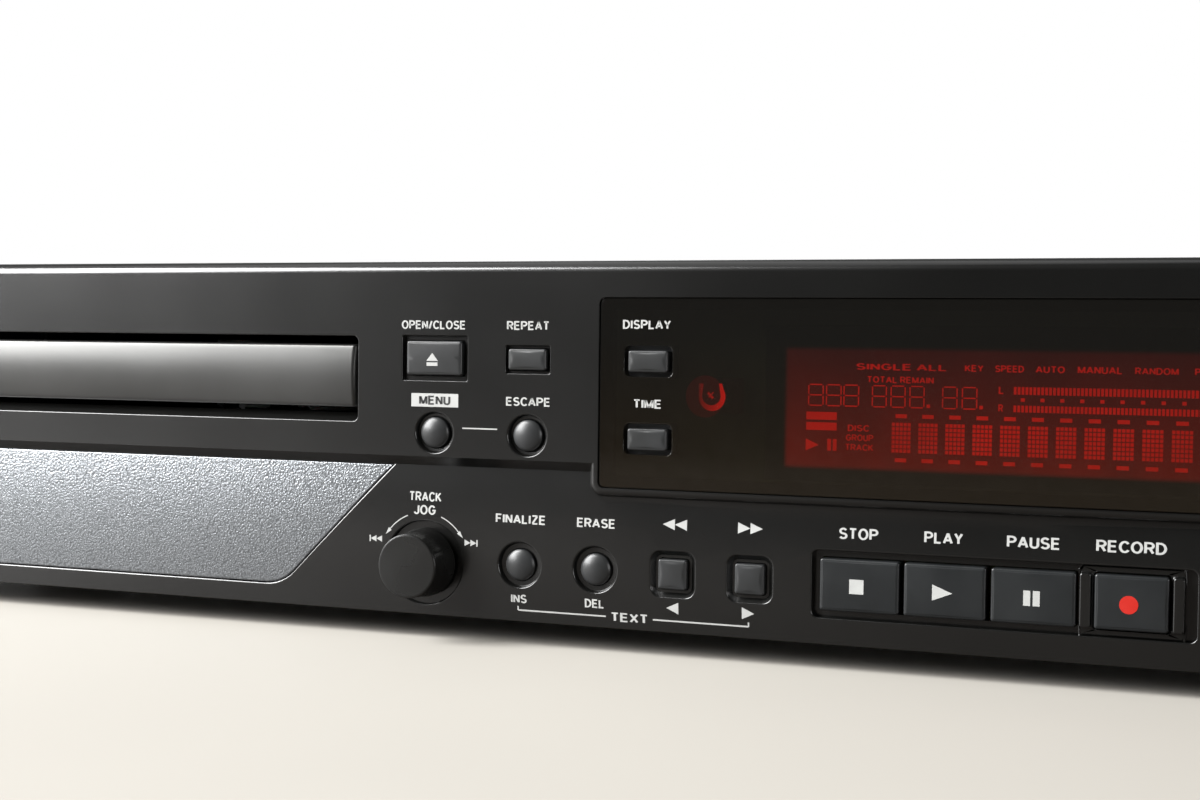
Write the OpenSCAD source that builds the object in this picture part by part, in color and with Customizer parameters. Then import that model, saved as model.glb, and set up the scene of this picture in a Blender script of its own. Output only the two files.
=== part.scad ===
// Compact disc recorder in a two-unit rack case.
// +X is to the right seen from the front, +Y runs from the front panel to the rear, +Z is up.
// The origin is on the table, midway between the sides and midway between the jog dial and the rear sockets.

/* [Case] */
// Width over the two rack ears
rack_w = 482.6; // [480:0.1:486]
// Height of the front panel
panel_h = 88; // [86:0.5:94]
// Height of the panel's lower edge above the table
panel_lift = 6; // [5:0.5:12]
// Width of the body between the ears
body_w = 435; // [430:1:445]
// Depth from the face of the panel to the rear panel
body_depth = 290; // [285:1:340]
// Sheet thickness of the top cover
cover_t = 1; // [0.8:0.1:1.6]
// How far the cover lies below the panel's upper edge
cover_drop = 1; // [0.5:0.1:3]
// Sheet thickness of the chassis pan
pan_t = 1.2; // [0.8:0.1:2]
// How far the pan lies above the panel's lower edge
pan_raise = 1; // [0.5:0.1:3]
// Height of the pan's side flanges
pan_flange = 14; // [12:1:20]
// Height of the pan's front corner posts
post_h = 72; // [66:1:74]
// Length of the pan's front corner posts
post_len = 32; // [28:1:45]
// Sheet thickness of the rear panel
rear_t = 1; // [0.8:0.1:2]
// Diameter of a foot where it meets the pan
foot_d = 26; // [18:1:32]
// How far a foot tapers in towards the table, on the radius
foot_taper = 2; // [0.5:0.5:4]
// Distance of the feet from the sides of the body
foot_inset_x = 42; // [30:1:70]
// Distance of the feet from the front and rear of the shell
foot_inset_y = 36; // [30:1:60]

/* [Rack ears and screws] */
// Plate thickness of a rack ear
ear_t = 2.5; // [2:0.1:3]
// Depth of an ear's flange along the side of the case
ear_reach = 46; // [44:1:60]
// How far the ears lie behind the face of the panel
ear_sink = 1; // [0:0.1:3]
// How far an ear's side flange is shorter than the panel at top and bottom
ear_trim = 5; // [2:0.5:8]
// Distance from the middle of a rack slot to the ear's outer edge
rack_edge = 8.75; // [8:0.05:10]
// Distance between the rack slots up the unit
rack_pitch_z = 76.2; // [70:0.1:78]
// Width of a rack slot
rack_slot_w = 6.8; // [6:0.1:7.5]
// Length of a rack slot
rack_slot_len = 10.3; // [9:0.1:12]
// Shank diameter of the case screws
screw_d = 3; // [2:0.1:4]
// Head diameter of the case screws
screw_head_d = 6; // [5:0.1:8]
// Head height of the case screws
screw_head_h = 1.8; // [1.2:0.1:2.5]
// Height of the screw row above the pan
screw_up = 8; // [6:0.5:10]

/* [Front panel] */
// Thickness of the panel at its raised upper block
panel_t = 5; // [4.8:0.1:6]
// How far the upper block stands in front of the lower panel
low_step = 1.6; // [0.8:0.1:2]
// Wall thickness of the rim behind the panel
rim_t = 2.2; // [1.5:0.1:3]
// Depth of the rim behind the panel
rim_depth = 12; // [11:0.5:16]
// Corner radius of the panel
panel_corner = 1.5; // [0.5:0.1:3]
// Height of the upper block's lower edge above the panel's lower edge
seam_h = 37.4; // [35:0.1:39]
// Height of that edge where it drops round the display
step_h = 32; // [30:0.1:33]
// How far that drop lies to the left of the lens
step_lead = 2.5; // [2:0.1:5]
// Diameter of the posts that carry the panel board
boss_d = 5; // [4:0.5:7]

/* [Trim] */
// Distance of the trim from the panel's left end
trim_margin = 5; // [3:0.5:10]
// Distance from the trim's upper right corner to the jog dial's middle
trim_gap = 7.6; // [5:0.1:14]
// Height of the trim's lower edge above the panel's lower edge
trim_low = 5.2; // [3:0.1:6]
// Corner radius where the lower edge meets the slope
trim_corner = 5; // [1:0.5:8]
// Thickness of the trim
trim_t = 1.7; // [1.2:0.1:2]
// How far the trim lies behind the lower panel
trim_sink = 0.3; // [0.1:0.1:0.8]

/* [Display] */
// Distance from the repeat button's middle to the lens
lens_gap = 18.7; // [18:0.1:22]
// Distance of the lens from the panel's right end
lens_margin = 9.5; // [7:0.5:14]
// Height of the lens's lower edge above the panel's lower edge
lens_low = 34; // [34:0.1:36]
// Height of the lens
lens_h = 45; // [43:0.1:46]
// Thickness of the lens
lens_t = 2.5; // [2:0.1:3]
// How far the lens lies behind the face of the panel
lens_sink = 0.3; // [0.1:0.1:0.6]
// Corner radius of the lens
lens_corner = 1.5; // [0.5:0.1:3]
// Width of the ledge that the lens sits on
lens_ledge = 2.5; // [2:0.1:3]
// Distance of the display tube from the lens's left edge
tube_inset = 39.2; // [37:0.1:43]
// Distance of the display tube from the lens's right end
tube_margin = 7; // [5:0.5:10]
// Height of the display tube
tube_h = 36; // [32:0.5:40]
// How far the display tube's middle lies below the lens's middle
tube_drop = 1.5; // [0:0.1:2]
// Thickness of the display tube
tube_t = 7.6; // [6:0.1:7.8]
// Distance of the remote sensor from the lens's left edge
sensor_inset = 28.2; // [25:0.1:30]
// How far the remote sensor lies below the lens's middle
sensor_drop = 0.4; // [0:0.1:4]
// Diameter of the remote sensor's dome
sensor_d = 5.4; // [4:0.1:6]

/* [Buttons] */
// Height of the upper row of buttons above the panel's lower edge
row_top = 64.1; // [62:0.1:66]
// Height of the middle row of buttons
row_mid = 45.7; // [44:0.1:48]
// Height of the lower row of controls
row_low = 14; // [13:0.1:15]
// Distance from the tray slot to the middle of the open and menu buttons
open_gap = 21.5; // [19:0.1:24]
// Width of the open button
open_w = 15.1; // [10:0.1:17]
// Height of the open button
open_h = 8.4; // [6:0.1:10]
// Distance from the open button to the repeat button, and from menu to escape
repeat_pitch = 25.1; // [23:0.1:27]
// Width of the repeat button
repeat_w = 9.9; // [7:0.1:12]
// Height of the repeat button
repeat_h = 5.1; // [4:0.1:7]
// Diameter of the menu and escape buttons
menu_d = 7.6; // [6:0.1:9]
// Distance of the display and time buttons from the lens's left edge
display_inset = 12.2; // [11.5:0.1:14]
// Width of the display and time buttons
display_w = 10.4; // [8:0.1:12]
// Height of the display and time buttons
display_h = 5.7; // [4:0.1:8]
// Distance from the finalize button to the erase button
finalize_pitch = 19.8; // [18:0.1:21]
// Distance from the erase button to the backward search button
erase_pitch = 19.7; // [18:0.1:21]
// Diameter of the finalize and erase buttons
finalize_d = 7.7; // [6:0.1:9]
// Distance between the search buttons
search_pitch = 18.9; // [17:0.1:21]
// Distance from the forward search button to the pocket of the transport keys
search_gap = 14.8; // [13:0.1:17]
// Width of the square search buttons
search_w = 7.1; // [5:0.1:9]
// Width of the power button
power_w = 13; // [10:0.5:16]
// Height of the power button
power_h = 8; // [6:0.5:10]
// Distance of the power button from the panel's left end
power_inset = 22; // [18:0.5:30]
// Width of the dished edge round the upper buttons
dish_w = 1.4; // [0.8:0.1:1.8]
// Width of the edge round the repeat button
small_dish_w = 0.9; // [0.5:0.1:1.2]
// Width of the dished edge round the lower buttons
low_dish_w = 1.85; // [1:0.1:2.2]
// Width of the bare edge round the buttons in the lens
lens_dish_w = 0.5; // [0.4:0.05:0.8]
// Depth of the dished edges
dish_depth = 1.2; // [0.6:0.1:1.6]
// How far the buttons stand in front of the panel
cap_proud = 0.7; // [0.3:0.1:1.5]
// Height of the dome on the round buttons
cap_dome = 0.7; // [0.3:0.1:1.2]
// Corner radius of the square-cut buttons
cap_corner = 0.6; // [0.2:0.1:1]
// How far a button travels
button_travel = 0.8; // [0.4:0.1:1]
// Thickness of the flange that holds a button in
flange_t = 1.2; // [0.8:0.1:1.6]
// How far that flange reaches past the button
flange_lip = 1.1; // [0.6:0.1:1.1]
// Diameter of the stem behind a button
stem_d = 3; // [2:0.1:4]

/* [Transport keys] */
// Width of the stop, play and pause keys
key_w = 18.2; // [16:0.1:20]
// Gap between one of these keys and the next
key_gap = 1.1; // [0.8:0.1:2]
// Height of the transport keys
key_h = 11.9; // [10:0.1:13]
// How far the keys stand in front of the lower panel
key_proud = 0.9; // [0.4:0.1:1.4]
// Width of the record key
record_w = 15.4; // [14:0.1:18]
// Distance from the pocket that holds the keys to the input knob's middle
pocket_gap = 11.55; // [9:0.05:13]
// Distance from the pocket's left end to the stop key
key_margin = 2; // [1:0.1:3]
// Distance from the keys to the pocket's upper and lower edges
pocket_rim = 1.8; // [1.6:0.1:2.2]
// Depth of that pocket
pocket_depth = 2; // [1.6:0.1:2.2]
// Distance from the pause key to the guard round the record key
guard_lead = 0.7; // [0.5:0.1:1.5]
// Distance from the guard to the pocket's right end
guard_margin = 2.5; // [1:0.1:4]
// Gap between the record key and the guard's ribs
guard_gap = 0.8; // [0.4:0.1:1.5]
// Thickness of the guard's plate
guard_t = 1; // [0.8:0.1:1.4]
// Width of the guard's ribs
guard_rib = 2.4; // [1.5:0.1:2.6]
// How far the guard's ribs stand out of its plate
guard_rise = 1.3; // [0.6:0.1:1.6]

/* [Dials and jack] */
// Distance from the jog dial to the finalize button
jog_pitch = 26; // [24:0.1:28]
// How far the jog dial's middle lies below the middle of the buttons beside it
jog_drop = 0.8; // [0:0.1:1.2]
// Diameter of the jog dial at its back
jog_d = 17; // [15:0.1:18]
// How much the jog dial narrows towards its front, on each side
jog_taper = 0.7; // [0:0.1:1]
// How far the jog dial stands in front of the lower panel
jog_stand = 9.6; // [9:0.1:13]
// How far the jog dial pushes in
jog_travel = 0.5; // [0.3:0.1:0.6]
// Diameter of the round recess behind the jog dial
jog_recess_d = 21; // [19.4:0.1:22]
// Depth of that recess
jog_recess = 1; // [0.6:0.1:1.4]
// Diameter of the turning shafts
shaft_d = 6; // [5:0.1:7]
// Diameter of the threaded bush round a shaft
bush_d = 7.6; // [7.3:0.1:9]
// Size across of the encoder and of a level control
control_w = 11; // [9:0.5:12]
// Diameter of the level knobs
level_d = 12; // [10:0.5:14]
// How far the level knobs stand in front of the lower panel
level_stand = 8.5; // [6:0.5:10]
// Distance of the headphone jack from the panel's right end
phones_inset = 13; // [12:0.5:16]
// Distance from the headphone jack to the headphone knob, and from there to the input knob
level_pitch = 20; // [18:0.5:21]
// Diameter of the headphone jack's bore
jack_bore_d = 6.45; // [6.4:0.05:6.6]
// Length of the headphone jack's bore
jack_bore_len = 20; // [14:1:26]
// Diameter of the headphone jack's threaded bush
jack_bush_d = 10; // [9:0.1:11]
// Diameter of the headphone jack's nut
jack_nut_d = 13; // [12:0.1:14]
// Thickness of the headphone jack's nut
jack_nut_t = 1.8; // [1:0.1:2.5]

/* [Tray and drive] */
// Distance of the tray slot from the panel's left end
slot_inset = 23.35; // [20:0.05:26]
// Width of the tray slot
slot_w = 145.5; // [143.6:0.1:150]
// Height of the tray slot's lower edge above the panel's lower edge
slot_low = 47.9; // [46:0.1:48.4]
// Height of the tray slot
slot_h = 21.5; // [20:0.1:23]
// Rise of the slot's sloping sill
sill_rise = 1; // [0.4:0.1:1.2]
// Clearance beside the tray front
tray_front_gap = 1.3; // [0.6:0.1:1.8]
// Clearance below the tray front
tray_front_under = 3.5; // [2.5:0.1:4]
// Clearance above the tray front
tray_front_over = 2.1; // [1:0.1:3]
// Thickness of the tray front
tray_front_t = 6; // [4:0.1:6.5]
// How far the tray front lies behind the face of the panel
tray_front_sink = 0.8; // [0.2:0.1:2]
// Rise of the crown on the tray front
tray_crown = 1.4; // [0.4:0.1:2.5]
// Width of the tray beside the disc well, at its narrowest
tray_side = 3.7; // [3:0.1:5]
// How far the runners stand out of the tray's sides
runner_reach = 5; // [4:0.1:6]
// Clearance beside the runners
runner_gap = 1.5; // [0.5:0.1:2]
// Thickness of the tray under the disc well
tray_floor = 2; // [1.6:0.1:2.5]
// Depth of the disc well
well_depth = 4.6; // [4.3:0.1:5]
// Diameter of the disc well
well_d = 121.6; // [121:0.1:123]
// Diameter of the well for small discs
small_well_d = 81; // [80.5:0.1:82]
// Width of the tray's long opening
aperture_w = 44; // [40:0.5:46]
// Distance from the back of the tray front to the disc's middle
disc_back = 68; // [66:0.5:70]
// How far the tray travels
tray_travel = 138; // [130:1:140]
// Wall thickness of the drive base
drive_wall = 2; // [1.5:0.1:2.5]
// Height of the drive base above its floor
drive_h = 38; // [36:0.5:38.5]
// Height of the tray's underside above the drive's floor
tray_up = 15; // [14.5:0.1:15.5]
// Sheet thickness of the drive cover and the drive bracket
sheet_t = 1.2; // [0.8:0.1:1.5]
// Number of teeth on the loading gear
gear_teeth = 20; // [18:1:22]
// Module of the loading gear's teeth
gear_module = 1; // [0.9:0.05:1.05]
// Play between the loading gear and the tray's rack
gear_play = 0.3; // [0.2:0.05:0.4]
// Thickness of the loading gear
gear_t = 2.2; // [1.8:0.1:2.3]
// Diameter of the loading gear's pulley groove
gear_pulley_d = 14; // [12:0.5:15]
// Diameter of the motor pulley's groove
motor_pulley_d = 5; // [4.5:0.5:6]
// Distance from the loading gear to the loading motor
belt_span = 26; // [24:0.5:28]
// Diameter of the loading motor
loading_motor_d = 18; // [14:0.5:20]
// Width of the traverse deck
deck_w = 84; // [82:1:86]
// Thickness of the traverse deck
deck_t = 2; // [1.5:0.1:2.5]
// Distance from the disc's middle to the deck's hinge
hinge_back = 96; // [94:0.5:100]
// How far the laser sled travels
sled_travel = 34; // [28:1:35]
// Diameter of the turntable
turntable_d = 30; // [26:0.5:34]
// Diameter of the spindle motor
spindle_d = 26; // [22:0.5:26]
// Diameter of the clamp puck
puck_d = 25; // [22:0.5:28]
// Diameter of the guide rods
rod_d = 3; // [2.5:0.1:3.2]
// Distance between the guide rods
rod_gap = 48; // [46:0.5:50]
// Diameter of the lead screw
lead_d = 2.6; // [2:0.1:3]

/* [Rear sockets and boards] */
// How far the phono sockets stand behind the rear panel
phono_reach = 9.5; // [8:0.5:12]
// Outer diameter of a phono socket
phono_d = 8.3; // [8.2:0.05:8.4]
// Distance between phono sockets
phono_pitch = 18; // [16:0.5:20]
// Size of an optical socket's body
optical_w = 13; // [11:0.5:14]
// Width of the mains inlet's cavity
inlet_w = 24.5; // [24:0.1:26]
// Height of the mains inlet's cavity
inlet_h = 16.8; // [16:0.1:18]
// Depth of the mains inlet's cavity
inlet_depth = 17; // [15:0.5:20]
// Wall thickness of the mains inlet
inlet_wall = 1.2; // [0.8:0.1:1.6]
// Thickness of a circuit board
board_t = 1.6; // [1:0.1:2]
// Height of the boards above the pan
standoff_h = 8; // [6:0.5:10]

/* [Hidden] */
$fn = 64;
// Overlap of cutting tools past a surface
cut = 1;
// Clearance between fixed pieces
fit_gap = 0.15;
// Clearance between sliding pieces
slide_gap = 0.3;
// Clearance round a running shaft
run_gap = 0.05;
// Clearance behind a button's flange and at the end of its stroke
seat_gap = 0.1;
// Clearance between a button and its hole
button_gap = 0.25;
// Pressure angle of the gear teeth
pressure = 20;
// Corner radius of small moulded and pressed pieces
small_corner = 0.6;
// How far one piece of a solid runs into the next, so that they join
weld = 0.5;

// Sizes of the square-cut buttons
open_size = [open_w, open_h];
repeat_size = [repeat_w, repeat_h];
display_size = [display_w, display_h];
search_size = [search_w, search_w];
power_size = [power_w, power_h];

// Levels from front to rear
jog_reach = jog_stand - low_step;
face_y = jog_reach - (jog_reach + body_depth + phono_reach) / 2;
low_y = face_y + low_step;
plate_y = face_y + panel_t;
rim_y = plate_y + rim_depth;
shell_y = rim_y + fit_gap;
rear_y = face_y + body_depth;
lens_y = face_y + lens_sink;
lens_back_y = lens_y + lens_t;
trim_y = low_y + trim_sink;
pocket_y = low_y + pocket_depth;
switch_w = 6;
switch_h = 3;
switch_tip = 0.5;
switch_tip_d = 3.5;
stem_len = 3;
tip_y = plate_y + seat_gap + flange_t + stem_len + button_travel + seat_gap;
board_y = tip_y + switch_tip + switch_h;
control_t = 6.5;
control_y = board_y - control_t;

// Levels from the table up, and the panel's ends
panel_top = panel_lift + panel_h;
panel_mid = panel_lift + panel_h / 2;
panel_w = body_w - 2 * fit_gap;
panel_end = panel_w / 2;
cover_top = panel_top - cover_drop;
pan_z = panel_lift + pan_raise;
pan_top = pan_z + pan_t;
pan_end = body_w / 2 - cover_t - fit_gap;
seam_z = panel_lift + seam_h;
step_z = panel_lift + step_h;
top_z = panel_lift + row_top;
mid_z = panel_lift + row_mid;
low_z = panel_lift + row_low;
jog_z = low_z - jog_drop;
screw_z = pan_top + screw_up;
screw_hole_d = screw_d + 2 * fit_gap;
jack_hole_d = jack_bush_d + 2 * fit_gap;

// Upper row from the panel's left end: tray slot, buttons, then the lens up to the right end
slot_right = slot_inset + slot_w - panel_end;
slot_x = slot_right - slot_w / 2;
open_x = slot_right + open_gap;
repeat_x = open_x + repeat_pitch;
lens_left = repeat_x + lens_gap;
lens_w = panel_end - lens_margin - lens_left;
lens_mid = [lens_left + lens_w / 2, panel_lift + lens_low + lens_h / 2];
step_x = lens_left - step_lead;
display_x = lens_left + display_inset;
sensor_x = lens_left + sensor_inset;
tube_left = lens_left + tube_inset;
tube_w = lens_left + lens_w - tube_margin - tube_left;
power_x = power_inset - panel_end;

// Lower row from the panel's right end: jack, knobs, transport keys, buttons, jog dial, then the trim
phones_x = panel_end - phones_inset;
phones_knob_x = phones_x - level_pitch;
input_knob_x = phones_knob_x - level_pitch;
pocket_right = input_knob_x - pocket_gap;
guard_w = record_w + 2 * (guard_gap + guard_rib);
record_x = pocket_right - guard_margin - guard_w / 2;
key_pitch = key_w + key_gap;
pause_x = record_x - guard_w / 2 - guard_lead - key_w / 2;
play_x = pause_x - key_pitch;
stop_x = play_x - key_pitch;
pocket_left = stop_x - key_w / 2 - key_margin;
pocket_x = (pocket_left + pocket_right) / 2;
pocket_h = key_h + 2 * pocket_rim;
search_forward_x = pocket_left - search_gap;
search_back_x = search_forward_x - search_pitch;
erase_x = search_back_x - erase_pitch;
finalize_x = erase_x - finalize_pitch;
jog_x = finalize_x - jog_pitch;
trim_right = jog_x - trim_gap;
trim_left = trim_margin - panel_end;
trim_slope = trim_right - (seam_h - trim_low);

// Panel board and the posts that carry it
boss_inset = 8;
boss_drop = 7.4;
upper_boss_drop = 6;
jog_boss_gap = 27.8;
pocket_boss_gap = 3;
open_boss_gap = 12;
repeat_boss_gap = 9.9;
boss_z = seam_z - boss_drop;
upper_boss_z = panel_top - upper_boss_drop;
boss_places = [
    [boss_inset - panel_end, boss_z], [jog_x - jog_boss_gap, boss_z],
    [pocket_left - pocket_boss_gap, boss_z], [panel_end - boss_inset, boss_z],
    [open_x - open_boss_gap, upper_boss_z], [repeat_x + repeat_boss_gap, upper_boss_z]
];
board_gap = 3;
board_left = slot_right + board_gap;
board_edge = 1;
board_notch = 2.5;
jack_wall = 2;
jack_end_t = 4;

// Dials
dial_bevel = 0.6;
dial_face_t = 2;
shaft_in = 4;
shaft_y = control_y + shaft_in;
plunger_step = 0.5;
plunger_d = shaft_d - 2 * plunger_step;
knob_bevel = 0.6;
knob_draft = 0.3;
pointer_w = 0.8;
pointer_depth = 0.5;
sensor_sink = 2;
sensor_y = control_y + sensor_sink;
sensor_rim = [1.6, 3];
sensor_z = lens_mid.y - sensor_drop;

// Tray and drive
slot_z = panel_lift + slot_low;
tray_front_y = face_y + tray_front_sink;
tray_y = tray_front_y + tray_front_t;
tray_front_z = slot_z + tray_front_under;
tray_front_h = slot_h - tray_front_under - tray_front_over;
tray_front_w = slot_w - 2 * tray_front_gap;
tray_front_corner = 0.8;
tray_w = well_d + 2 * tray_side;
runner_w = tray_w + 2 * runner_reach;
drive_w = runner_w + 2 * (runner_gap + drive_wall);
tray_t = tray_floor + well_depth;
small_well_depth = 0.8;
tray_rise = 3.5;
tray_z = tray_front_z + tray_rise;
tray_top = tray_z + tray_t;
well_z = tray_top - well_depth;
rail_drop = 2.4;
rail_w = 4.5;
rack_drop = gear_t + 2 * fit_gap;
rail_z = tray_z - rail_drop;
rack_z = rail_z - rack_drop;
disc_y = tray_y + disc_back;
floor_z = tray_z - tray_up;
drive_z = floor_z - drive_wall;
drive_top = floor_z + drive_h;
drive_y = shell_y + slide_gap;
runner_up = 0.9;
runner_z = tray_z + runner_up;
runner_t = 2.4;
ledge_t = 2;
ledge_w = 6;

// Loading gear, rack and belt
pitch_r = gear_module * gear_teeth / 2;
base_r = pitch_r * cos(pressure);
tip_r = pitch_r + gear_module;
root_r = pitch_r - 1.25 * gear_module;
rack_pitch = PI * gear_module;
rack_line = slot_x + tray_w / 2 - rail_w;
gear_x = rack_line - pitch_r;
gear_inset = 2;
gear_y = drive_y + tip_r + gear_inset;
gear_z = rack_z + fit_gap;
rack_teeth = ceil(tray_travel / rack_pitch) + 1;
rack_end = gear_y + (rack_teeth + 1) * rack_pitch;
tray_tail = 2;
tray_len = rack_end + tray_tail - tray_y;
tray_end_gap = 3;
hinge_room = 9;
drive_end = drive_wall + max(tray_y + tray_len + tray_end_gap, disc_y + hinge_back + hinge_room);
pulley_h = 2.8;
pulley_flange = 1;
pulley_core = 0.8;
belt_t = 0.8;
belt_h = 1.2;
gear_pin_d = 3;
gear_post_d = 8;
motor_shaft_d = 2;
motor_top = gear_z - pulley_h - fit_gap;

// Drive bracket
bracket_inset = 12;
bracket_end = 14;
bracket_foot = 10;

// Traverse deck, clamp and sled
deck_drop = 4.9;
deck_z = tray_z - deck_drop;
deck_front = 20;
arm_w = 6;
hinge_pin_d = 3;
hinge_z = deck_z + deck_t / 2;
ear_w = 5;
ear_gap = 1;
ear_half = 4;
ear_top = 3;
arm_end = 3;
disc_t = 1.2;
disc_lift = 1.5;
disc_z = well_z + disc_lift;
hub_d = 14.8;
hub_h = 2.4;
hub_draft = 0.6;
spindle_h = 5;
spindle_floor = 1;
spindle_hole_d = 8;
turntable_t = 1.8;
collar_d = 6;
rod_drop = 2.5;
rod_z = deck_z - rod_drop;
rod_front = 10;
rod_back = 81;
post_w = 6;
post_t = 3;
post_under = 2.5;
sled_rest = 26;
sled_len = 20;
sled_side = 5;
sled_w = rod_gap + 2 * sled_side;
sled_under = 3;
sled_top = 3.8;
sled_step = 1;
pedestal_w = 24;
pedestal_room = 4;
lens_barrel_d = 7;
lens_barrel_h = 1;
lead_x = 14;
sled_motor_d = 9;
sled_motor_len = 11;
bridge_up = 3.8;
bridge_z = tray_top + bridge_up;
bridge_w = 34;
puck_rim = 3;
puck_rim_t = 1.4;
puck_sink = 1;
puck_z = disc_z + disc_t + slide_gap;

// Boards and sockets
board_z = pan_top + standoff_h;
standoff_d = 6;
standoff_inset = 6;
phono_up = 14;
phono_inset = 32;
phono_column = 21.6;
phono_body = 12;
phono_bore_d = 3.4;
phono_z = board_z + phono_up;
phono_x = panel_end - phono_inset;
optical_x = phono_x - 3 * phono_column;
optical_depth = 10;
optical_rim = 1;
collar_t = 1;
phono_collar = 1.2;
phono_collar_d = phono_d + 2 * phono_collar;
phono_hole_d = phono_collar_d + 2 * fit_gap;
phono_places = [for (i = [0:2], j = [0:1]) [phono_x - i * phono_column, phono_z + j * phono_pitch]];
optical_places = [for (j = [0:1]) [optical_x, phono_z + j * phono_pitch]];
inlet_inset = 42;
inlet_up = 30;
inlet_x = inlet_inset - panel_end;
inlet_z = pan_top + inlet_up;
inlet_flange = 3;
inlet_flange_t = 2;
inlet_pin = [2, 4];
inlet_pin_sink = 4;
inlet_pins = [[-7, -2], [0, 2], [7, -2]];

// Boards: distances of each from the pieces round it, and what stands on it as place, size and height
main_gap = 20;
main_front = 45;
main_edge = 16;
main_chips = [
    [20, 30, 28, 28, 2.5], [70, 40, 20, 20, 2.5], [110, 60, 24, 14, 3],
    [60, 110, 40, 12, 9], [150, 30, 18, 30, 12], [20, 150, 30, 20, 6]
];
supply_edge = 14;
supply_front = 72;
supply_back = 22;
supply_gap = 16;
supply_blocks = [[52, 6, 34, 38, 30], [96, 8, 4, 34, 26]];
can_d = 14;
can_h = 24;
can_places = [[36, 12], [36, 36], [112, 14], [112, 34]];

// Shell: feet, screws, slots and flanges
foot_hollow = 2.5;
foot_hollow_d = 13;
vent_count = 12;
vent_pitch = 10;
vent_w = 3;
vent_len = 44;
vent_corner = 1.4;
vent_inset = 30;
vent_back = 70;
front_flange_inset = 65;
rack_pitch_x = rack_w - 2 * rack_edge;
screw_draft = 0.6;
screw_tail = 3;
screw_recess_len = 3.3;
screw_recess_w = 1;
side_hole_len = 20;
foot_places = [for (sx = [-1, 1], y = [shell_y + foot_inset_y, rear_y - foot_inset_y])
    [sx * (body_w / 2 - foot_inset_x), y]];
cover_screw_front = 109;
cover_screw_back = 27;
cover_screw_y = [shell_y + cover_screw_front, rear_y - cover_screw_back];
ear_y = face_y + ear_sink;
ear_screw_y = shell_y + post_len / 2;
ear_screw_up = 4;
ear_screw_drop = 10;
ear_screw_z = [screw_z + ear_screw_up, pan_z + post_h - ear_screw_drop];

// Colours
panel_black = "#2b2b2a";
trim_grey = "#4a4b4c";
lens_brown = "#2a1714";
button_grey = "#3a3b3c";
tray_grey = "#55565a";
steel_black = "#232324";
zinc = "#b4b8ba";
screw_black = "#1c1c1d";
board_green = "#2f5a3c";
drive_black = "#303234";
plastic_white = "#d9d8d2";
bright_metal = "#cfd1d3";

// Draws a flat shape, given across and up, as a prism between two depths
module along_y(y0, y1) translate([0, y1, 0]) rotate([90, 0, 0]) linear_extrude(y1 - y0) children();

// Draws a flat shape, given in depth and height, as a prism between two places across
module along_x(x0, x1) translate([x0, 0, 0]) rotate([90, 0, 90]) linear_extrude(x1 - x0) children();

// Rectangle with round corners about a middle
module round_rect(middle, size, r) translate(middle) {
    square([size.x - 2 * r, size.y], center = true);
    square([size.x, size.y - 2 * r], center = true);
    for (sx = [-1, 1], sy = [-1, 1])
        translate([sx * (size.x / 2 - r), sy * (size.y / 2 - r)]) circle(r);
}

// Box between two corners
module block(low, high) translate(low) cube(high - low);

// Cylinder or cone along Y between two depths
module rod_y(x, z, y0, y1, d0, d1) translate([x, y0, z]) rotate([-90, 0, 0])
    cylinder(h = y1 - y0, d1 = d0, d2 = d1);

// Profile of radius and depth turned about an axis along Y
module turned_y(x, z) translate([x, 0, z]) rotate([-90, 0, 0]) rotate_extrude() children();

// Outline of the front panel, drawn in by a margin
module panel_outline(margin) round_rect([0, panel_mid], [panel_w - 2 * margin, panel_h - 2 * margin],
    max(panel_corner - margin, 0.1));

// Slab of the upper block from a height up, with its lower edge sloped back to the lower panel
module block_slab(left, low) difference() {
    along_y(face_y, plate_y) translate([left, low]) square([panel_end - left, panel_top - low]);
    along_x(left - cut, panel_end + cut)
        polygon([[low_y, low], [face_y - cut, low + low_step + cut], [face_y - cut, low - cut]]);
}

// Raised upper block, which drops lower from the display to the right
module raised_block() intersection() {
    along_y(face_y - cut, plate_y) panel_outline(0);
    union() {
        block_slab(-panel_end, seam_z);
        difference() {
            block_slab(step_x, step_z);
            translate([0, 0, step_z - cut]) linear_extrude(panel_top) polygon([
                [step_x, low_y], [step_x + low_step + cut, face_y - cut], [step_x - cut, face_y - cut]
            ]);
        }
    }
}

// Outline of the trim: a rectangle whose right end slopes at 45 degrees and is rounded at its foot
module trim_outline(grow) {
    low = panel_lift + trim_low - grow;
    foot = trim_slope + grow * tan(22.5);
    r = trim_corner + grow;
    polygon(concat(
        [[trim_left - grow, seam_z], [trim_left - grow, low]],
        [for (a = [-90:9:-45]) [foot - r * tan(22.5) + r * cos(a), low + r + r * sin(a)]],
        [[foot + seam_z - low, seam_z]]
    ));
}

// Hole for a round button with its dished edge
module round_hole(x, z, d, skin_y, edge) {
    rod_y(x, z, skin_y - cut, plate_y + cut, d + 2 * button_gap, d + 2 * button_gap);
    rod_y(x, z, skin_y, skin_y + dish_depth, d + 2 * edge, d + 2 * button_gap);
    rod_y(x, z, skin_y - cut, skin_y, d + 2 * edge, d + 2 * edge);
}

// Hole for a square-cut button with its stepped edge
module square_hole(x, z, size, skin_y, edge) {
    along_y(skin_y - cut, plate_y + cut)
        round_rect([x, z], size + [1, 1] * 2 * button_gap, cap_corner + button_gap);
    along_y(skin_y - cut, skin_y + dish_depth)
        round_rect([x, z], size + [1, 1] * 2 * edge, cap_corner + edge);
}

// Outline of the power button's hole
module power_hole()
    round_rect([power_x, low_z], power_size + [1, 1] * 2 * button_gap, cap_corner + button_gap);

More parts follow.
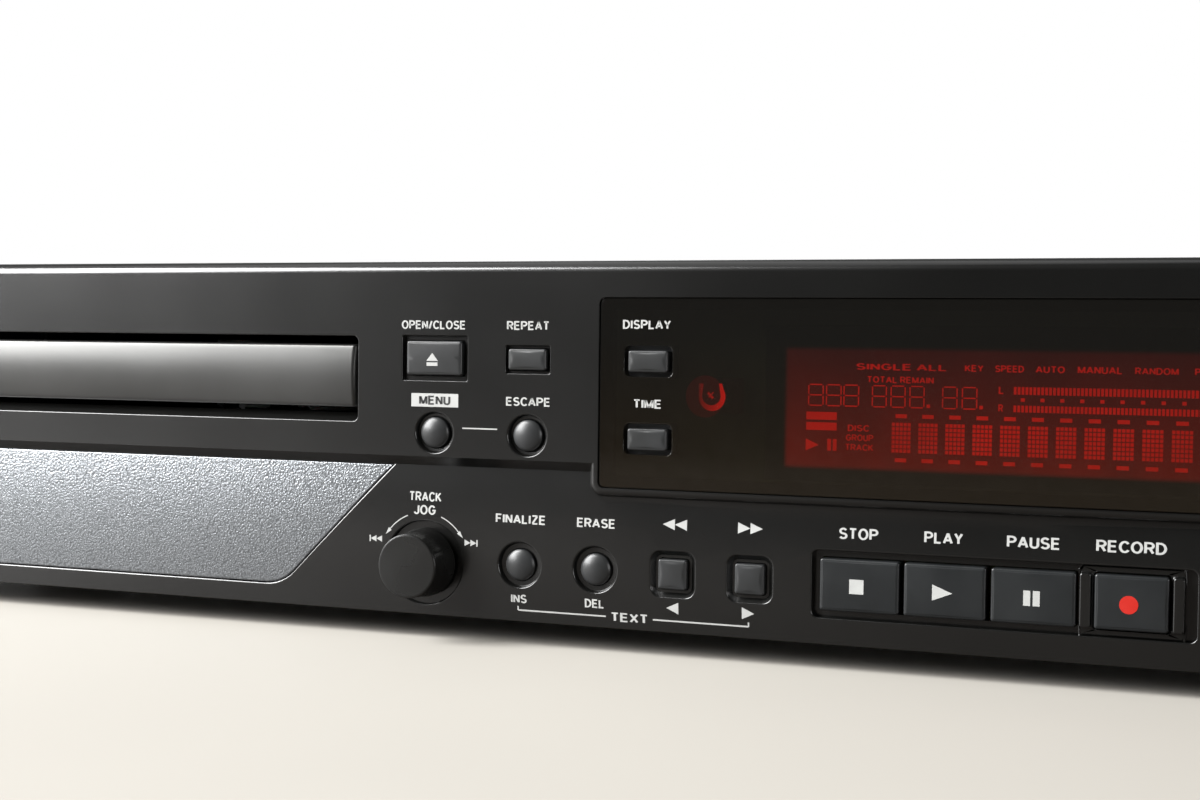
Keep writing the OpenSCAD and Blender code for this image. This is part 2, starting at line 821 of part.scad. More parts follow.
// Round domed button with its flange and stem
module round_button(x, z, d) {
    front = ((z > seam_z) ? face_y : low_y) - cap_proud;
    flange_y = plate_y + seat_gap;
    dome_r = (d * d / 4 + cap_dome * cap_dome) / (2 * cap_dome);
    intersection() {
        rod_y(x, z, front, flange_y + flange_t, d, d);
        translate([x, front + dome_r, z]) sphere(dome_r);
    }
    rod_y(x, z, flange_y, flange_y + flange_t, d + 2 * flange_lip, d + 2 * flange_lip);
    rod_y(x, z, flange_y, flange_y + flange_t + stem_len, stem_d, stem_d);
}

// Square-cut button between its front and the back of what holds it, with its flange and stem
module square_button(x, z, size, front, seat_y, lip) {
    flange_y = seat_y + seat_gap;
    along_y(front, flange_y + flange_t) round_rect([x, z], size, cap_corner);
    along_y(flange_y, flange_y + flange_t) round_rect([x, z], size + 2 * lip, cap_corner);
    rod_y(x, z, flange_y, tip_y - button_travel - seat_gap, stem_d, stem_d);
}

// Transport key, held by lips above and below
module transport_key(x, w) square_button(x, low_z, [w, key_h], low_y - key_proud, plate_y, [0, flange_lip]);

module front_panel() color(panel_black) {
    difference() {
        union() {
            along_y(low_y, plate_y) panel_outline(0);
            raised_block();
            along_y(low_y, rim_y) difference() {
                panel_outline(0);
                panel_outline(rim_t);
            }
            for (p = boss_places) rod_y(p.x, p.y, plate_y - cut, board_y, boss_d, boss_d);
        }
        along_y(face_y - cut, lens_back_y)
            round_rect(lens_mid, [lens_w, lens_h] + [1, 1] * 2 * fit_gap, lens_corner + fit_gap);
        along_y(face_y, plate_y + cut)
            round_rect(lens_mid, [lens_w, lens_h] - [1, 1] * 2 * lens_ledge, lens_corner);
        along_y(face_y - cut, plate_y + cut)
            round_rect([slot_x, slot_z + slot_h / 2], [slot_w, slot_h], panel_corner);
        along_y(low_y - cut, trim_y + trim_t) trim_outline(fit_gap);
        along_y(low_y - cut, plate_y + cut) power_hole();
        square_hole(open_x, top_z, open_size, face_y, dish_w);
        square_hole(repeat_x, top_z, repeat_size, face_y, small_dish_w);
        for (x = [open_x, repeat_x]) round_hole(x, mid_z, menu_d, face_y, dish_w);
        for (x = [finalize_x, erase_x]) round_hole(x, low_z, finalize_d, low_y, low_dish_w);
        for (x = [search_back_x, search_forward_x]) square_hole(x, low_z, search_size, low_y, low_dish_w);
        along_y(low_y - cut, pocket_y)
            round_rect([pocket_x, low_z], [pocket_right - pocket_left, pocket_h], panel_corner);
        along_y(low_y, plate_y + cut) {
            round_rect([play_x, low_z], [2 * key_pitch + key_w, key_h] + [1, 1] * 2 * button_gap, cap_corner);
            round_rect([record_x, low_z], [record_w, key_h] + [1, 1] * 2 * button_gap, cap_corner);
        }
        rod_y(jog_x, jog_z, low_y - cut, low_y + jog_recess, jog_recess_d, jog_recess_d);
        for (p = [[jog_x, jog_z], [input_knob_x, low_z], [phones_knob_x, low_z]])
            rod_y(p.x, p.y, low_y - cut, plate_y + cut, bush_d + 2 * fit_gap, bush_d + 2 * fit_gap);
        rod_y(phones_x, low_z, low_y - cut, plate_y + cut, jack_hole_d, jack_hole_d);
    }
    along_x(slot_x - slot_w / 2 + panel_corner, slot_x + slot_w / 2 - panel_corner) polygon([
        [face_y + low_step, slot_z - cut], [plate_y, slot_z - cut],
        [plate_y, slot_z + sill_rise], [face_y + low_step, slot_z]
    ]);
}

module trim_panel() color(trim_grey) difference() {
    along_y(trim_y, trim_y + trim_t) intersection() {
        trim_outline(0);
        translate([-panel_end, 0]) square([panel_w, seam_z - fit_gap]);
    }
    along_y(trim_y - cut, trim_y + trim_t + cut) power_hole();
}

module display_lens() color(lens_brown) difference() {
    along_y(lens_y, lens_back_y) round_rect(lens_mid, [lens_w, lens_h], lens_corner);
    for (z = [top_z, mid_z]) along_y(lens_y - cut, lens_back_y + cut)
        round_rect([display_x, z], display_size + [1, 1] * 2 * lens_dish_w, cap_corner + lens_dish_w);
}

// Frame on the pocket's floor with a rib on each side of the record key
module record_guard() color(panel_black) {
    along_y(pocket_y - guard_t, pocket_y) difference() {
        round_rect([record_x, low_z], [guard_w, pocket_h - 2 * fit_gap], cap_corner);
        round_rect([record_x, low_z], [record_w, key_h] + [1, 1] * 2 * button_gap, cap_corner);
    }
    for (side = [-1, 1]) along_y(pocket_y - guard_t - guard_rise, pocket_y)
        round_rect([record_x + side * (guard_w - guard_rib) / 2, low_z], [guard_rib, key_h], cap_corner);
}

// Rack ear on one side: a slotted front plate bent back along the case
module rack_ear(side) color(steel_black) difference() {
    mirror([side < 0 ? 1 : 0, 0, 0]) {
        block([body_w / 2, ear_y, panel_lift], [rack_w / 2, ear_y + ear_t, panel_top]);
        block([body_w / 2, ear_y, panel_lift + ear_trim],
            [body_w / 2 + ear_t, ear_y + ear_reach, panel_top - ear_trim]);
    }
    for (up = [-1, 1]) along_y(ear_y - cut, ear_y + ear_t + cut)
        translate([side * rack_pitch_x / 2, panel_mid + up * rack_pitch_z / 2]) {
            square([rack_slot_len - rack_slot_w, rack_slot_w], center = true);
            for (end = [-1, 1])
                translate([end * (rack_slot_len - rack_slot_w) / 2, 0]) circle(d = rack_slot_w);
        }
    for (z = ear_screw_z) side_hole(side, ear_screw_y, z);
}

module rack_ear_left() rack_ear(-1);

module rack_ear_right() rack_ear(1);

// Screw hole through everything at one side of the case
module side_hole(side, y, z) translate([side * body_w / 2, y, z]) rotate([0, 90, 0])
    cylinder(h = side_hole_len, d = screw_hole_d, center = true);

// All the screw holes in the sides of the case
module side_holes() for (side = [-1, 1]) {
    for (y = cover_screw_y) side_hole(side, y, screw_z);
    for (z = ear_screw_z) side_hole(side, ear_screw_y, z);
}

// Folded sheet over the top and both sides, with vent slots above the power supply
module top_cover() color(steel_black) difference() {
    block([-body_w / 2, shell_y, pan_z], [body_w / 2, rear_y, cover_top]);
    block([cover_t - body_w / 2, shell_y - cut, pan_z - cut],
        [body_w / 2 - cover_t, rear_y + cut, cover_top - cover_t]);
    for (i = [0:vent_count - 1])
        translate([vent_inset - panel_end + i * vent_pitch, rear_y - vent_back, cover_top - cover_t - cut])
            linear_extrude(cover_t + 2 * cut) round_rect([0, 0], [vent_w, vent_len], vent_corner);
    side_holes();
}

// Folded sheet: floor, side flanges, front flange and two tall front posts
module chassis_pan() color(zinc) difference() {
    union() {
        block([-pan_end, shell_y, pan_z], [pan_end, rear_y - rear_t, pan_top]);
        for (side = [-1, 1]) mirror([side < 0 ? 1 : 0, 0, 0]) {
            block([pan_end - pan_t, shell_y, pan_z], [pan_end, rear_y - rear_t, pan_top + pan_flange]);
            block([pan_end - pan_t, shell_y, pan_z], [pan_end, shell_y + post_len, pan_z + post_h]);
        }
        block([front_flange_inset - pan_end, shell_y, pan_z],
            [pan_end - front_flange_inset, shell_y + pan_t, pan_top + pan_flange]);
    }
    side_holes();
}

module rear_panel() color(steel_black) difference() {
    block([-pan_end, rear_y - rear_t, pan_z], [pan_end, rear_y, cover_top - cover_t - fit_gap]);
    for (p = phono_places)
        rod_y(p.x, p.y, rear_y - rear_t - cut, rear_y + cut, phono_hole_d, phono_hole_d);
    for (p = optical_places) along_y(rear_y - rear_t - cut, rear_y + cut)
        round_rect(p, [1, 1] * (optical_w - 2 * optical_rim + 2 * fit_gap), small_corner);
    along_y(rear_y - rear_t - cut, rear_y + cut)
        round_rect([inlet_x, inlet_z], [inlet_w, inlet_h] + [2, 2] * (inlet_wall + fit_gap),
            small_corner + inlet_wall);
}

// Four turned rubber feet
module feet() color("#191919") for (p = foot_places) translate([p.x, p.y, 0]) rotate_extrude()
    polygon([[0, foot_hollow], [foot_hollow_d / 2, foot_hollow], [foot_hollow_d / 2, 0],
        [foot_d / 2 - foot_taper, 0], [foot_d / 2, pan_z], [0, pan_z]]);

// Pan-head screw in a side of the case, with a cross recess
module side_screw(side, y, z, seat, len)
    translate([side * seat, y, z]) rotate([0, side * 90, 0]) difference() {
        union() {
            cylinder(h = screw_head_h, d1 = screw_head_d, d2 = screw_head_d - 2 * screw_draft);
            translate([0, 0, -len]) cylinder(h = len + weld, d = screw_d);
        }
        for (turn = [0, 90]) rotate(turn) translate([0, 0, screw_head_h])
            cube([screw_recess_len, screw_recess_w, screw_head_h], center = true);
    }

module cover_screws() color(screw_black) for (side = [-1, 1], y = cover_screw_y)
    side_screw(side, y, screw_z, body_w / 2, cover_t + pan_t + screw_tail);

module ear_screws() color(screw_black) for (side = [-1, 1], z = ear_screw_z)
    side_screw(side, ear_screw_y, z, body_w / 2 + ear_t, ear_t + cover_t + pan_t + screw_tail);

module open_button() color(button_grey)
    square_button(open_x, top_z, open_size, face_y - cap_proud, plate_y, [1, 1] * flange_lip);

module repeat_button() color(button_grey)
    square_button(repeat_x, top_z, repeat_size, face_y - cap_proud, plate_y, [1, 1] * flange_lip);

module menu_button() color(button_grey) round_button(open_x, mid_z, menu_d);

module escape_button() color(button_grey) round_button(repeat_x, mid_z, menu_d);

module display_button() color(button_grey)
    square_button(display_x, top_z, display_size, lens_y - cap_proud, lens_back_y, [1, 1] * flange_lip);

module time_button() color(button_grey)
    square_button(display_x, mid_z, display_size, lens_y - cap_proud, lens_back_y, [1, 1] * flange_lip);

module finalize_button() color(button_grey) round_button(finalize_x, low_z, finalize_d);

module erase_button() color(button_grey) round_button(erase_x, low_z, finalize_d);

module search_back_button() color(button_grey)
    square_button(search_back_x, low_z, search_size, low_y - cap_proud, plate_y, [1, 1] * flange_lip);

module search_forward_button() color(button_grey)
    square_button(search_forward_x, low_z, search_size, low_y - cap_proud, plate_y, [1, 1] * flange_lip);

module stop_key() color(button_grey) transport_key(stop_x, key_w);

module play_key() color(button_grey) transport_key(play_x, key_w);

module pause_key() color(button_grey) transport_key(pause_x, key_w);

module record_key() color(button_grey) transport_key(record_x, record_w);

module power_button() color(button_grey)
    square_button(power_x, low_z, power_size, low_y - cap_proud, plate_y, [1, 1] * flange_lip);

// Turned dial, tapered, with a bevelled front edge and a blind hole for its shaft
module jog_dial() color("#242424") {
    back = low_y + jog_recess - jog_travel - slide_gap;
    front = low_y - jog_stand;
    inside = front + dial_face_t;
    narrow = jog_d / 2 - jog_taper;
    turned_y(jog_x, jog_z) polygon([
        [0, front], [narrow - dial_bevel, front], [narrow, front + dial_bevel], [jog_d / 2, back],
        [shaft_d / 2 + run_gap, back], [shaft_d / 2 + run_gap, inside], [0, inside]
    ]);
}

module jog_shaft() color(bright_metal)
    rod_y(jog_x, jog_z, low_y - jog_stand + dial_face_t, shaft_y, shaft_d, shaft_d);

// Switch plunger behind the dial's shaft
module jog_plunger() color(plastic_white)
    rod_y(jog_x, jog_z, shaft_y + run_gap, board_y - jog_travel - slide_gap, plunger_d, plunger_d);

// Box on the panel board with a threaded bush forward through the panel
module shaft_control(x, z, bush_front) difference() {
    union() {
        along_y(control_y, board_y) round_rect([x, z], [1, 1] * control_w, small_corner);
        rod_y(x, z, bush_front, control_y + cut, bush_d, bush_d);
    }
    rod_y(x, z, bush_front - cut, board_y + cut, shaft_d + 2 * run_gap, shaft_d + 2 * run_gap);
}

module jog_encoder() color("#8d9092") shaft_control(jog_x, jog_z, low_y + jog_recess + slide_gap);

// Turned level knob with its own shaft and a groove as pointer
module level_knob(x) difference() {
    front = low_y - level_stand;
    turned_y(x, low_z) polygon([
        [0, front], [level_d / 2 - knob_draft - knob_bevel, front],
        [level_d / 2 - knob_draft, front + knob_bevel], [level_d / 2, low_y - slide_gap],
        [shaft_d / 2, low_y - slide_gap], [shaft_d / 2, board_y - slide_gap], [0, board_y - slide_gap]
    ]);
    block([x - pointer_w / 2, front - cut, low_z + level_d / 8],
        [x + pointer_w / 2, front + pointer_depth, low_z + level_d]);
}

module input_knob() color("#242424") level_knob(input_knob_x);

module phones_knob() color("#242424") level_knob(phones_knob_x);

module level_controls() color("#8d9092") for (x = [input_knob_x, phones_knob_x])
    shaft_control(x, low_z, low_y + slide_gap);

// Jack body behind the panel, its bush through the panel and its nut in front, with a blind bore
module phones_jack() color("#202022") difference() {
    union() {
        rod_y(phones_x, low_z, low_y - jack_nut_t, low_y, jack_nut_d, jack_nut_d);
        rod_y(phones_x, low_z, low_y - jack_nut_t, plate_y + cut, jack_bush_d, jack_bush_d);
        along_y(plate_y, low_y - jack_nut_t + jack_bore_len + jack_end_t)
            round_rect([phones_x, low_z], [1, 1] * (jack_bush_d + 2 * jack_wall), small_corner);
    }
    rod_y(phones_x, low_z, low_y - jack_nut_t - cut, low_y - jack_nut_t + jack_bore_len,
        jack_bore_d, jack_bore_d);
}

// Receiver block with a round dome towards the lens
module remote_sensor() color("#3b1512") {
    along_y(sensor_y, board_y)
        round_rect([sensor_x, sensor_z], [1, 1] * sensor_d + sensor_rim, small_corner);
    intersection() {
        translate([sensor_x, sensor_y, sensor_z]) sphere(d = sensor_d);
        along_y(sensor_y - sensor_d, sensor_y + weld)
            round_rect([sensor_x, sensor_z], [1, 1] * 2 * sensor_d, small_corner);
    }
}

module display_tube() color("#3a100c") along_y(board_y - tube_t, board_y)
    round_rect([tube_left + tube_w / 2, lens_mid.y - tube_drop], [tube_w, tube_h], small_corner);

// L-shaped board behind the panel, cut away round the headphone jack
module panel_board() color(board_green) along_y(board_y, board_y + board_t) difference() {
    union() {
        translate([-panel_end + rim_t + board_edge, panel_lift + rim_t + board_edge])
            square([panel_w - 2 * (rim_t + board_edge), seam_h - rim_t - board_edge]);
        translate([board_left, panel_lift + rim_t + board_edge])
            square([panel_end - rim_t - board_edge - board_left, panel_h - 2 * (rim_t + board_edge)]);
    }
    notch = jack_bush_d / 2 + board_notch;
    translate([phones_x - notch, 0]) square([panel_end, low_z + notch]);
}

// Places of the push switches behind the buttons
switch_places = concat(
    [for (x = [open_x, repeat_x, display_x], z = [top_z, mid_z]) [x, z]],
    [for (x = [finalize_x, erase_x, search_back_x, search_forward_x, stop_x, play_x, pause_x, record_x,
        power_x]) [x, low_z]]
);

module panel_switches() color("#1d1e20") for (p = switch_places) {
    along_y(board_y - switch_h, board_y) round_rect(p, [1, 1] * switch_w, small_corner);
    rod_y(p.x, p.y, tip_y, board_y - switch_h + weld, switch_tip_d, switch_tip_d);
}

// Moulded base: floor, side and rear walls, runner ledges, gear post and hinge ears
module drive_base() color(drive_black) difference() {
    half = drive_w / 2;
    end = drive_end;
    union() {
        block([slot_x - half, drive_y, drive_z], [slot_x + half, end, floor_z]);
        block([slot_x - half, end - drive_wall, drive_z], [slot_x + half, end, drive_top]);
        for (side = [-1, 1]) translate([slot_x, 0, 0]) mirror([side < 0 ? 1 : 0, 0, 0]) {
            block([half - drive_wall, drive_y, drive_z], [half, end, drive_top]);
            for (z = [runner_z - slide_gap - ledge_t, runner_z + runner_t + slide_gap])
                block([half - ledge_w, drive_y, z], [half, end, z + ledge_t]);
            block([deck_w / 2 + ear_gap, disc_y + hinge_back - ear_half, drive_z],
                [deck_w / 2 + ear_gap + ear_w, disc_y + hinge_back + ear_half, hinge_z + ear_top]);
        }
        translate([gear_x, gear_y, drive_z]) {
            cylinder(h = gear_z - pulley_h - fit_gap - drive_z, d = gear_post_d);
            cylinder(h = gear_z + gear_t - drive_z, d = gear_pin_d);
        }
    }
    translate([slot_x, disc_y + hinge_back, hinge_z]) rotate([0, 90, 0])
        cylinder(h = deck_w + 4 * ear_w, d = hinge_pin_d + 2 * run_gap, center = true);
}

// Lid of the drive with the bridge that holds the clamp puck
module drive_cover() color(zinc) {
    half = drive_w / 2;
    inner = half - drive_wall - slide_gap;
    block([slot_x - half, drive_y, drive_top], [slot_x + half, drive_end, drive_top + sheet_t]);
    difference() {
        block([slot_x - inner, disc_y - bridge_w / 2, bridge_z],
            [slot_x + inner, disc_y + bridge_w / 2, bridge_z + sheet_t]);
        translate([slot_x, disc_y, bridge_z - cut])
            cylinder(h = sheet_t + 2 * cut, d = puck_d + 2 * slide_gap);
    }
    for (side = [-1, 1]) translate([slot_x, 0, 0]) mirror([side < 0 ? 1 : 0, 0, 0])
        block([inner - sheet_t, disc_y - bridge_w / 2, bridge_z], [inner, disc_y + bridge_w / 2, drive_top]);
}

// Folded stand that carries the drive above the pan
module drive_bracket() color(zinc) {
    half = drive_w / 2 - bracket_inset;
    front = drive_y + bracket_end;
    back = drive_end - bracket_end;
    block([slot_x - half, front, drive_z - sheet_t], [slot_x + half, back, drive_z]);
    for (side = [-1, 1]) translate([slot_x, 0, 0]) mirror([side < 0 ? 1 : 0, 0, 0]) {
        block([half - sheet_t, front, pan_top], [half, back, drive_z]);
        block([half - sheet_t, front, pan_top], [half + bracket_foot, back, pan_top + sheet_t]);
    }
}

// Tooth of the tray's rack, drawn along X towards the gear
module rack_tooth() {
    mid = rack_pitch / 4 - gear_play / 2;
    slope = tan(pressure) * gear_module;
    polygon([
        [-gear_module, -mid + slope], [-gear_module, mid - slope],
        [1.25 * gear_module, mid + 1.25 * slope], [2 * gear_module, mid + 1.25 * slope],
        [2 * gear_module, -mid - 1.25 * slope], [1.25 * gear_module, -mid - 1.25 * slope]
    ]);
}

// Tray with its disc wells, long opening, runners, rails and rack
module disc_tray() color(drive_black) {
    end = tray_y + tray_len;
    half = tray_w / 2;
    difference() {
        union() {
            block([slot_x - half, tray_y, tray_z], [slot_x + half, end, tray_top]);
            block([slot_x - runner_w / 2, tray_y, runner_z],
                [slot_x + runner_w / 2, end, runner_z + runner_t]);
            for (side = [-1, 1]) translate([slot_x, 0, 0]) mirror([side < 0 ? 1 : 0, 0, 0])
                block([half - rail_w, tray_y, rail_z], [half, end, tray_top]);
        }
        translate([slot_x, disc_y, well_z]) cylinder(h = tray_t, d = well_d);
        translate([slot_x, disc_y, well_z - small_well_depth]) cylinder(h = tray_t, d = small_well_d);
        translate([slot_x, disc_y, tray_z - cut]) cylinder(h = tray_t + 2 * cut, d = aperture_w);
        block([slot_x - aperture_w / 2, disc_y, tray_z - cut],
            [slot_x + aperture_w / 2, end + cut, tray_top + cut]);
    }
    translate([rack_line, gear_y + rack_pitch / 2, rack_z]) linear_extrude(rail_z + weld - rack_z)
        for (i = [-2:rack_teeth]) translate([0, i * rack_pitch]) rack_tooth();
    block([rack_line + 1.25 * gear_module, gear_y - 2 * rack_pitch, rack_z],
        [slot_x + half, rack_end, rail_z + weld]);
}

// Crowned bar that closes the tray slot
module tray_front() color(tray_grey) {
    crown_r = (tray_front_h * tray_front_h / 4 + tray_crown * tray_crown) / (2 * tray_crown);
    mid_z = tray_front_z + tray_front_h / 2;
    intersection() {
        along_y(tray_front_y, tray_y)
            round_rect([slot_x, mid_z], [tray_front_w, tray_front_h], tray_front_corner);
        translate([slot_x, tray_front_y + crown_r, mid_z]) rotate([0, 90, 0])
            cylinder(h = 2 * tray_front_w, r = crown_r, center = true, $fn = 180);
    }
}

// Angle between a tooth's middle line and its flank at a radius
function roll(a) = tan(a) * 180 / PI - a;
function flank(r) = 90 / gear_teeth - gear_play * 90 / PI / pitch_r + roll(pressure)
    - roll(acos(min(1, base_r / r)));

// Outline of the loading gear, with a tooth towards the rack
module gear_outline() {
    radii = [for (i = [0:4]) max(base_r, root_r) + i * (tip_r - max(base_r, root_r)) / 4];
    circle(root_r);
    for (t = [0:gear_teeth - 1]) rotate(t * 360 / gear_teeth) polygon(concat(
        [[root_r - 0.3, 0] + [0, -root_r * sin(flank(base_r))]],
        [for (r = radii) r * [cos(flank(r)), -sin(flank(r))]],
        [for (i = [4:-1:0]) radii[i] * [cos(flank(radii[i])), sin(flank(radii[i]))]],
        [[root_r - 0.3, 0] + [0, root_r * sin(flank(base_r))]]
    ));
}

// Flanged pulley for the belt, standing on Z, with a bore
module pulley(core_d, bore_d) rotate_extrude() polygon([
    [bore_d / 2, 0], [core_d / 2 + pulley_flange, 0], [core_d / 2 + pulley_flange, pulley_core],
    [core_d / 2, pulley_core], [core_d / 2, pulley_h - pulley_core],
    [core_d / 2 + pulley_flange, pulley_h - pulley_core], [core_d / 2 + pulley_flange, pulley_h],
    [bore_d / 2, pulley_h]
]);

module loading_gear() color(plastic_white) translate([gear_x, gear_y, gear_z]) {
    difference() {
        linear_extrude(gear_t) gear_outline();
        translate([0, 0, -cut]) cylinder(h = gear_t + 2 * cut, d = gear_pin_d + 2 * run_gap);
    }
    translate([0, 0, -pulley_h]) pulley(gear_pulley_d, gear_pin_d + 2 * run_gap);
}

module loading_motor() color(bright_metal) translate([gear_x - belt_span, gear_y, floor_z]) {
    cylinder(h = motor_top - floor_z, d = loading_motor_d);
    cylinder(h = gear_z - floor_z, d = motor_shaft_d);
}

module motor_pulley() color(plastic_white) translate([gear_x - belt_span, gear_y, gear_z - pulley_h])
    pulley(motor_pulley_d, motor_shaft_d + 2 * run_gap);

// Flat belt round both pulleys
module loading_belt() color("#161616")
    translate([gear_x, gear_y, gear_z - pulley_h / 2 - belt_h / 2]) linear_extrude(belt_h) difference() {
        hull() for (p = [[0, gear_pulley_d], [-belt_span, motor_pulley_d]])
            translate([p.x, 0]) circle(d = p.y + 2 * run_gap + 2 * belt_t);
        hull() for (p = [[0, gear_pulley_d], [-belt_span, motor_pulley_d]])
            translate([p.x, 0]) circle(d = p.y + 2 * run_gap);
    }

// Tilting deck: plate with an opening for the sled, rod posts below, arms and hinge pins behind
module traverse_deck() color(drive_black) translate([slot_x, disc_y, 0]) {
    half = deck_w / 2;
    difference() {
        block([-half, -deck_front, deck_z], [half, rod_back, deck_z + deck_t]);
        block([-pedestal_w / 2 - pedestal_room, rod_front + post_t, deck_z - cut],
            [pedestal_w / 2 + pedestal_room, rod_back - post_t, deck_z + deck_t + cut]);
        translate([0, 0, deck_z - cut]) cylinder(h = deck_t + 2 * cut, d = spindle_hole_d);
    }
    for (side = [-1, 1]) mirror([side < 0 ? 1 : 0, 0, 0])
        block([half - arm_w, rod_back - cut, deck_z], [half, hinge_back + arm_end, deck_z + deck_t]);
    for (side = [-1, 1]) translate([side * half, hinge_back, hinge_z]) rotate([0, side * 90, 0])
        translate([0, 0, -arm_w]) cylinder(h = arm_w + ear_gap + ear_w, d = hinge_pin_d);
    difference() {
        for (x = [-rod_gap / 2, lead_x, rod_gap / 2], y = [rod_front, rod_back - post_t])
            block([x - post_w / 2, y, rod_z - post_under], [x + post_w / 2, y + post_t, deck_z + deck_t / 2]);
        for (x = [-rod_gap / 2, rod_gap / 2])
            rod_y(x, rod_z, rod_front - cut, rod_back + cut, rod_d + run_gap, rod_d + run_gap);
        rod_y(lead_x, rod_z, rod_front - cut, rod_back + cut, lead_d + 2 * run_gap, lead_d + 2 * run_gap);
    }
}

// Flat motor under the deck with a bore for the turntable's shaft
module spindle_motor() color(bright_metal) translate([slot_x, disc_y, deck_z - spindle_h]) difference() {
    cylinder(h = spindle_h, d = spindle_d);
    translate([0, 0, spindle_floor]) cylinder(h = spindle_h, d = motor_shaft_d + 2 * run_gap);
}

// Turntable with its centring hub above and its shaft below
module turntable() color("#26272a") translate([slot_x, disc_y, 0]) {
    shaft_z = deck_z - spindle_h + spindle_floor + fit_gap;
    rotate_extrude() polygon([
        [0, shaft_z], [motor_shaft_d / 2, shaft_z], [motor_shaft_d / 2, deck_z + run_gap],
        [collar_d / 2, deck_z + run_gap], [collar_d / 2, disc_z - turntable_t],
        [turntable_d / 2, disc_z - turntable_t], [turntable_d / 2, disc_z], [hub_d / 2, disc_z],
        [hub_d / 2 - hub_draft, disc_z + hub_h], [0, disc_z + hub_h]
    ]);
}

// Puck that hangs by its rim in the bridge and holds the disc down
module clamp_puck() color(plastic_white) translate([slot_x, disc_y, 0]) {
    rim_z = bridge_z + sheet_t + run_gap;
    hollow_r = hub_d / 2 + puck_sink;
    rotate_extrude() polygon([
        [0, bridge_z - puck_sink], [hollow_r, bridge_z - puck_sink], [hollow_r, puck_z], [puck_d / 2, puck_z],
        [puck_d / 2, rim_z], [puck_d / 2 + puck_rim, rim_z],
        [puck_d / 2 + puck_rim, bridge_z + sheet_t + puck_rim_t], [0, bridge_z + sheet_t + puck_rim_t]
    ]);
}

module guide_rods() color(bright_metal) for (side = [-1, 1])
    rod_y(slot_x + side * rod_gap / 2, rod_z, disc_y + rod_front, disc_y + rod_back, rod_d, rod_d);

// Sled on the rods with the lens on its pedestal
module laser_sled() color("#6b6e72") translate([slot_x, disc_y + sled_rest, 0]) {
    half = sled_len / 2;
    difference() {
        block([-sled_w / 2, -half, rod_z - sled_under], [sled_w / 2, half, deck_z - slide_gap]);
        for (x = [-rod_gap / 2, rod_gap / 2])
            rod_y(x, rod_z, -half - cut, half + cut, rod_d + 2 * run_gap, rod_d + 2 * run_gap);
        rod_y(lead_x, rod_z, -half - cut, half + cut, lead_d + 2 * run_gap, lead_d + 2 * run_gap);
    }
    block([-pedestal_w / 2, sled_step - half, deck_z - slide_gap - weld],
        [pedestal_w / 2, half - sled_step, deck_z + sled_top]);
    translate([0, 0, deck_z + sled_top - weld]) cylinder(h = lens_barrel_h + weld, d = lens_barrel_d);
}

module lead_screw() color(bright_metal)
    rod_y(slot_x + lead_x, rod_z, disc_y + rod_front, disc_y + rod_back, lead_d, lead_d);

module sled_motor() color(bright_metal) rod_y(slot_x + lead_x, rod_z, disc_y + rod_back + run_gap,
    disc_y + rod_back + sled_motor_len, sled_motor_d, sled_motor_d);

// Bare board with its standoffs and chips, between two corners
module circuit_board(low, high, chips) {
    block([low.x, low.y, board_z], [high.x, high.y, board_z + board_t]);
    for (x = [low.x + standoff_inset, high.x - standoff_inset],
        y = [low.y + standoff_inset, high.y - standoff_inset])
        translate([x, y, pan_top]) cylinder(h = standoff_h + weld, d = standoff_d);
    for (c = chips) block([low.x + c[0], low.y + c[1], board_z + weld],
        [low.x + c[0] + c[2], low.y + c[1] + c[3], board_z + board_t + c[4]]);
}

// Main board with its chips
module main_board() color(board_green) circuit_board(
    [slot_right + main_gap, shell_y + main_front], [panel_end - main_edge, rear_y - main_edge], main_chips
);

// Supply board with its transformer, heat sink and capacitors
module power_supply() color("#4d5a3c") {
    low = [supply_edge - panel_end, rear_y - supply_front];
    circuit_board(low, [slot_right - supply_gap, rear_y - supply_back], supply_blocks);
    for (p = can_places)
        translate([low.x + p.x, low.y + p.y, board_z + weld]) cylinder(h = can_h, d = can_d);
}

// Six turned phono sockets and two square optical sockets, each on its body behind the rear panel
module rear_sockets() color("#c9c3ae") {
    for (p = phono_places) difference() {
        union() {
            along_y(rear_y - rear_t - phono_body, rear_y - rear_t)
                round_rect(p, [1, 1] * phono_body, small_corner);
            rod_y(p.x, p.y, rear_y - rear_t - cut, rear_y + collar_t, phono_collar_d, phono_collar_d);
            rod_y(p.x, p.y, rear_y, rear_y + phono_reach, phono_d, phono_d);
        }
        rod_y(p.x, p.y, rear_y, rear_y + phono_reach + cut, phono_bore_d, phono_bore_d);
    }
    for (p = optical_places) {
        along_y(rear_y - rear_t - optical_depth, rear_y - rear_t)
            round_rect(p, [1, 1] * optical_w, small_corner);
        along_y(rear_y - rear_t - weld, rear_y + collar_t)
            round_rect(p, [1, 1] * (optical_w - 2 * optical_rim), small_corner);
    }
}

// Inlet shell through the rear panel with three flat pins standing in its cavity
module mains_inlet() color("#1b1b1c") {
    outer = [inlet_w, inlet_h] + [2, 2] * inlet_wall;
    front = rear_y - inlet_depth;
    back = rear_y + inlet_flange_t;
    difference() {
        union() {
            along_y(front - inlet_wall, back)
                round_rect([inlet_x, inlet_z], outer, small_corner + inlet_wall);
            along_y(rear_y, back)
                round_rect([inlet_x, inlet_z], outer + [2, 2] * inlet_flange, small_corner + inlet_flange);
        }
        along_y(front, back + cut) round_rect([inlet_x, inlet_z], [inlet_w, inlet_h], small_corner);
    }
    for (p = inlet_pins) along_y(front - weld, rear_y - inlet_pin_sink)
        translate([inlet_x + p.x, inlet_z + p.y]) square(inlet_pin, center = true);
}

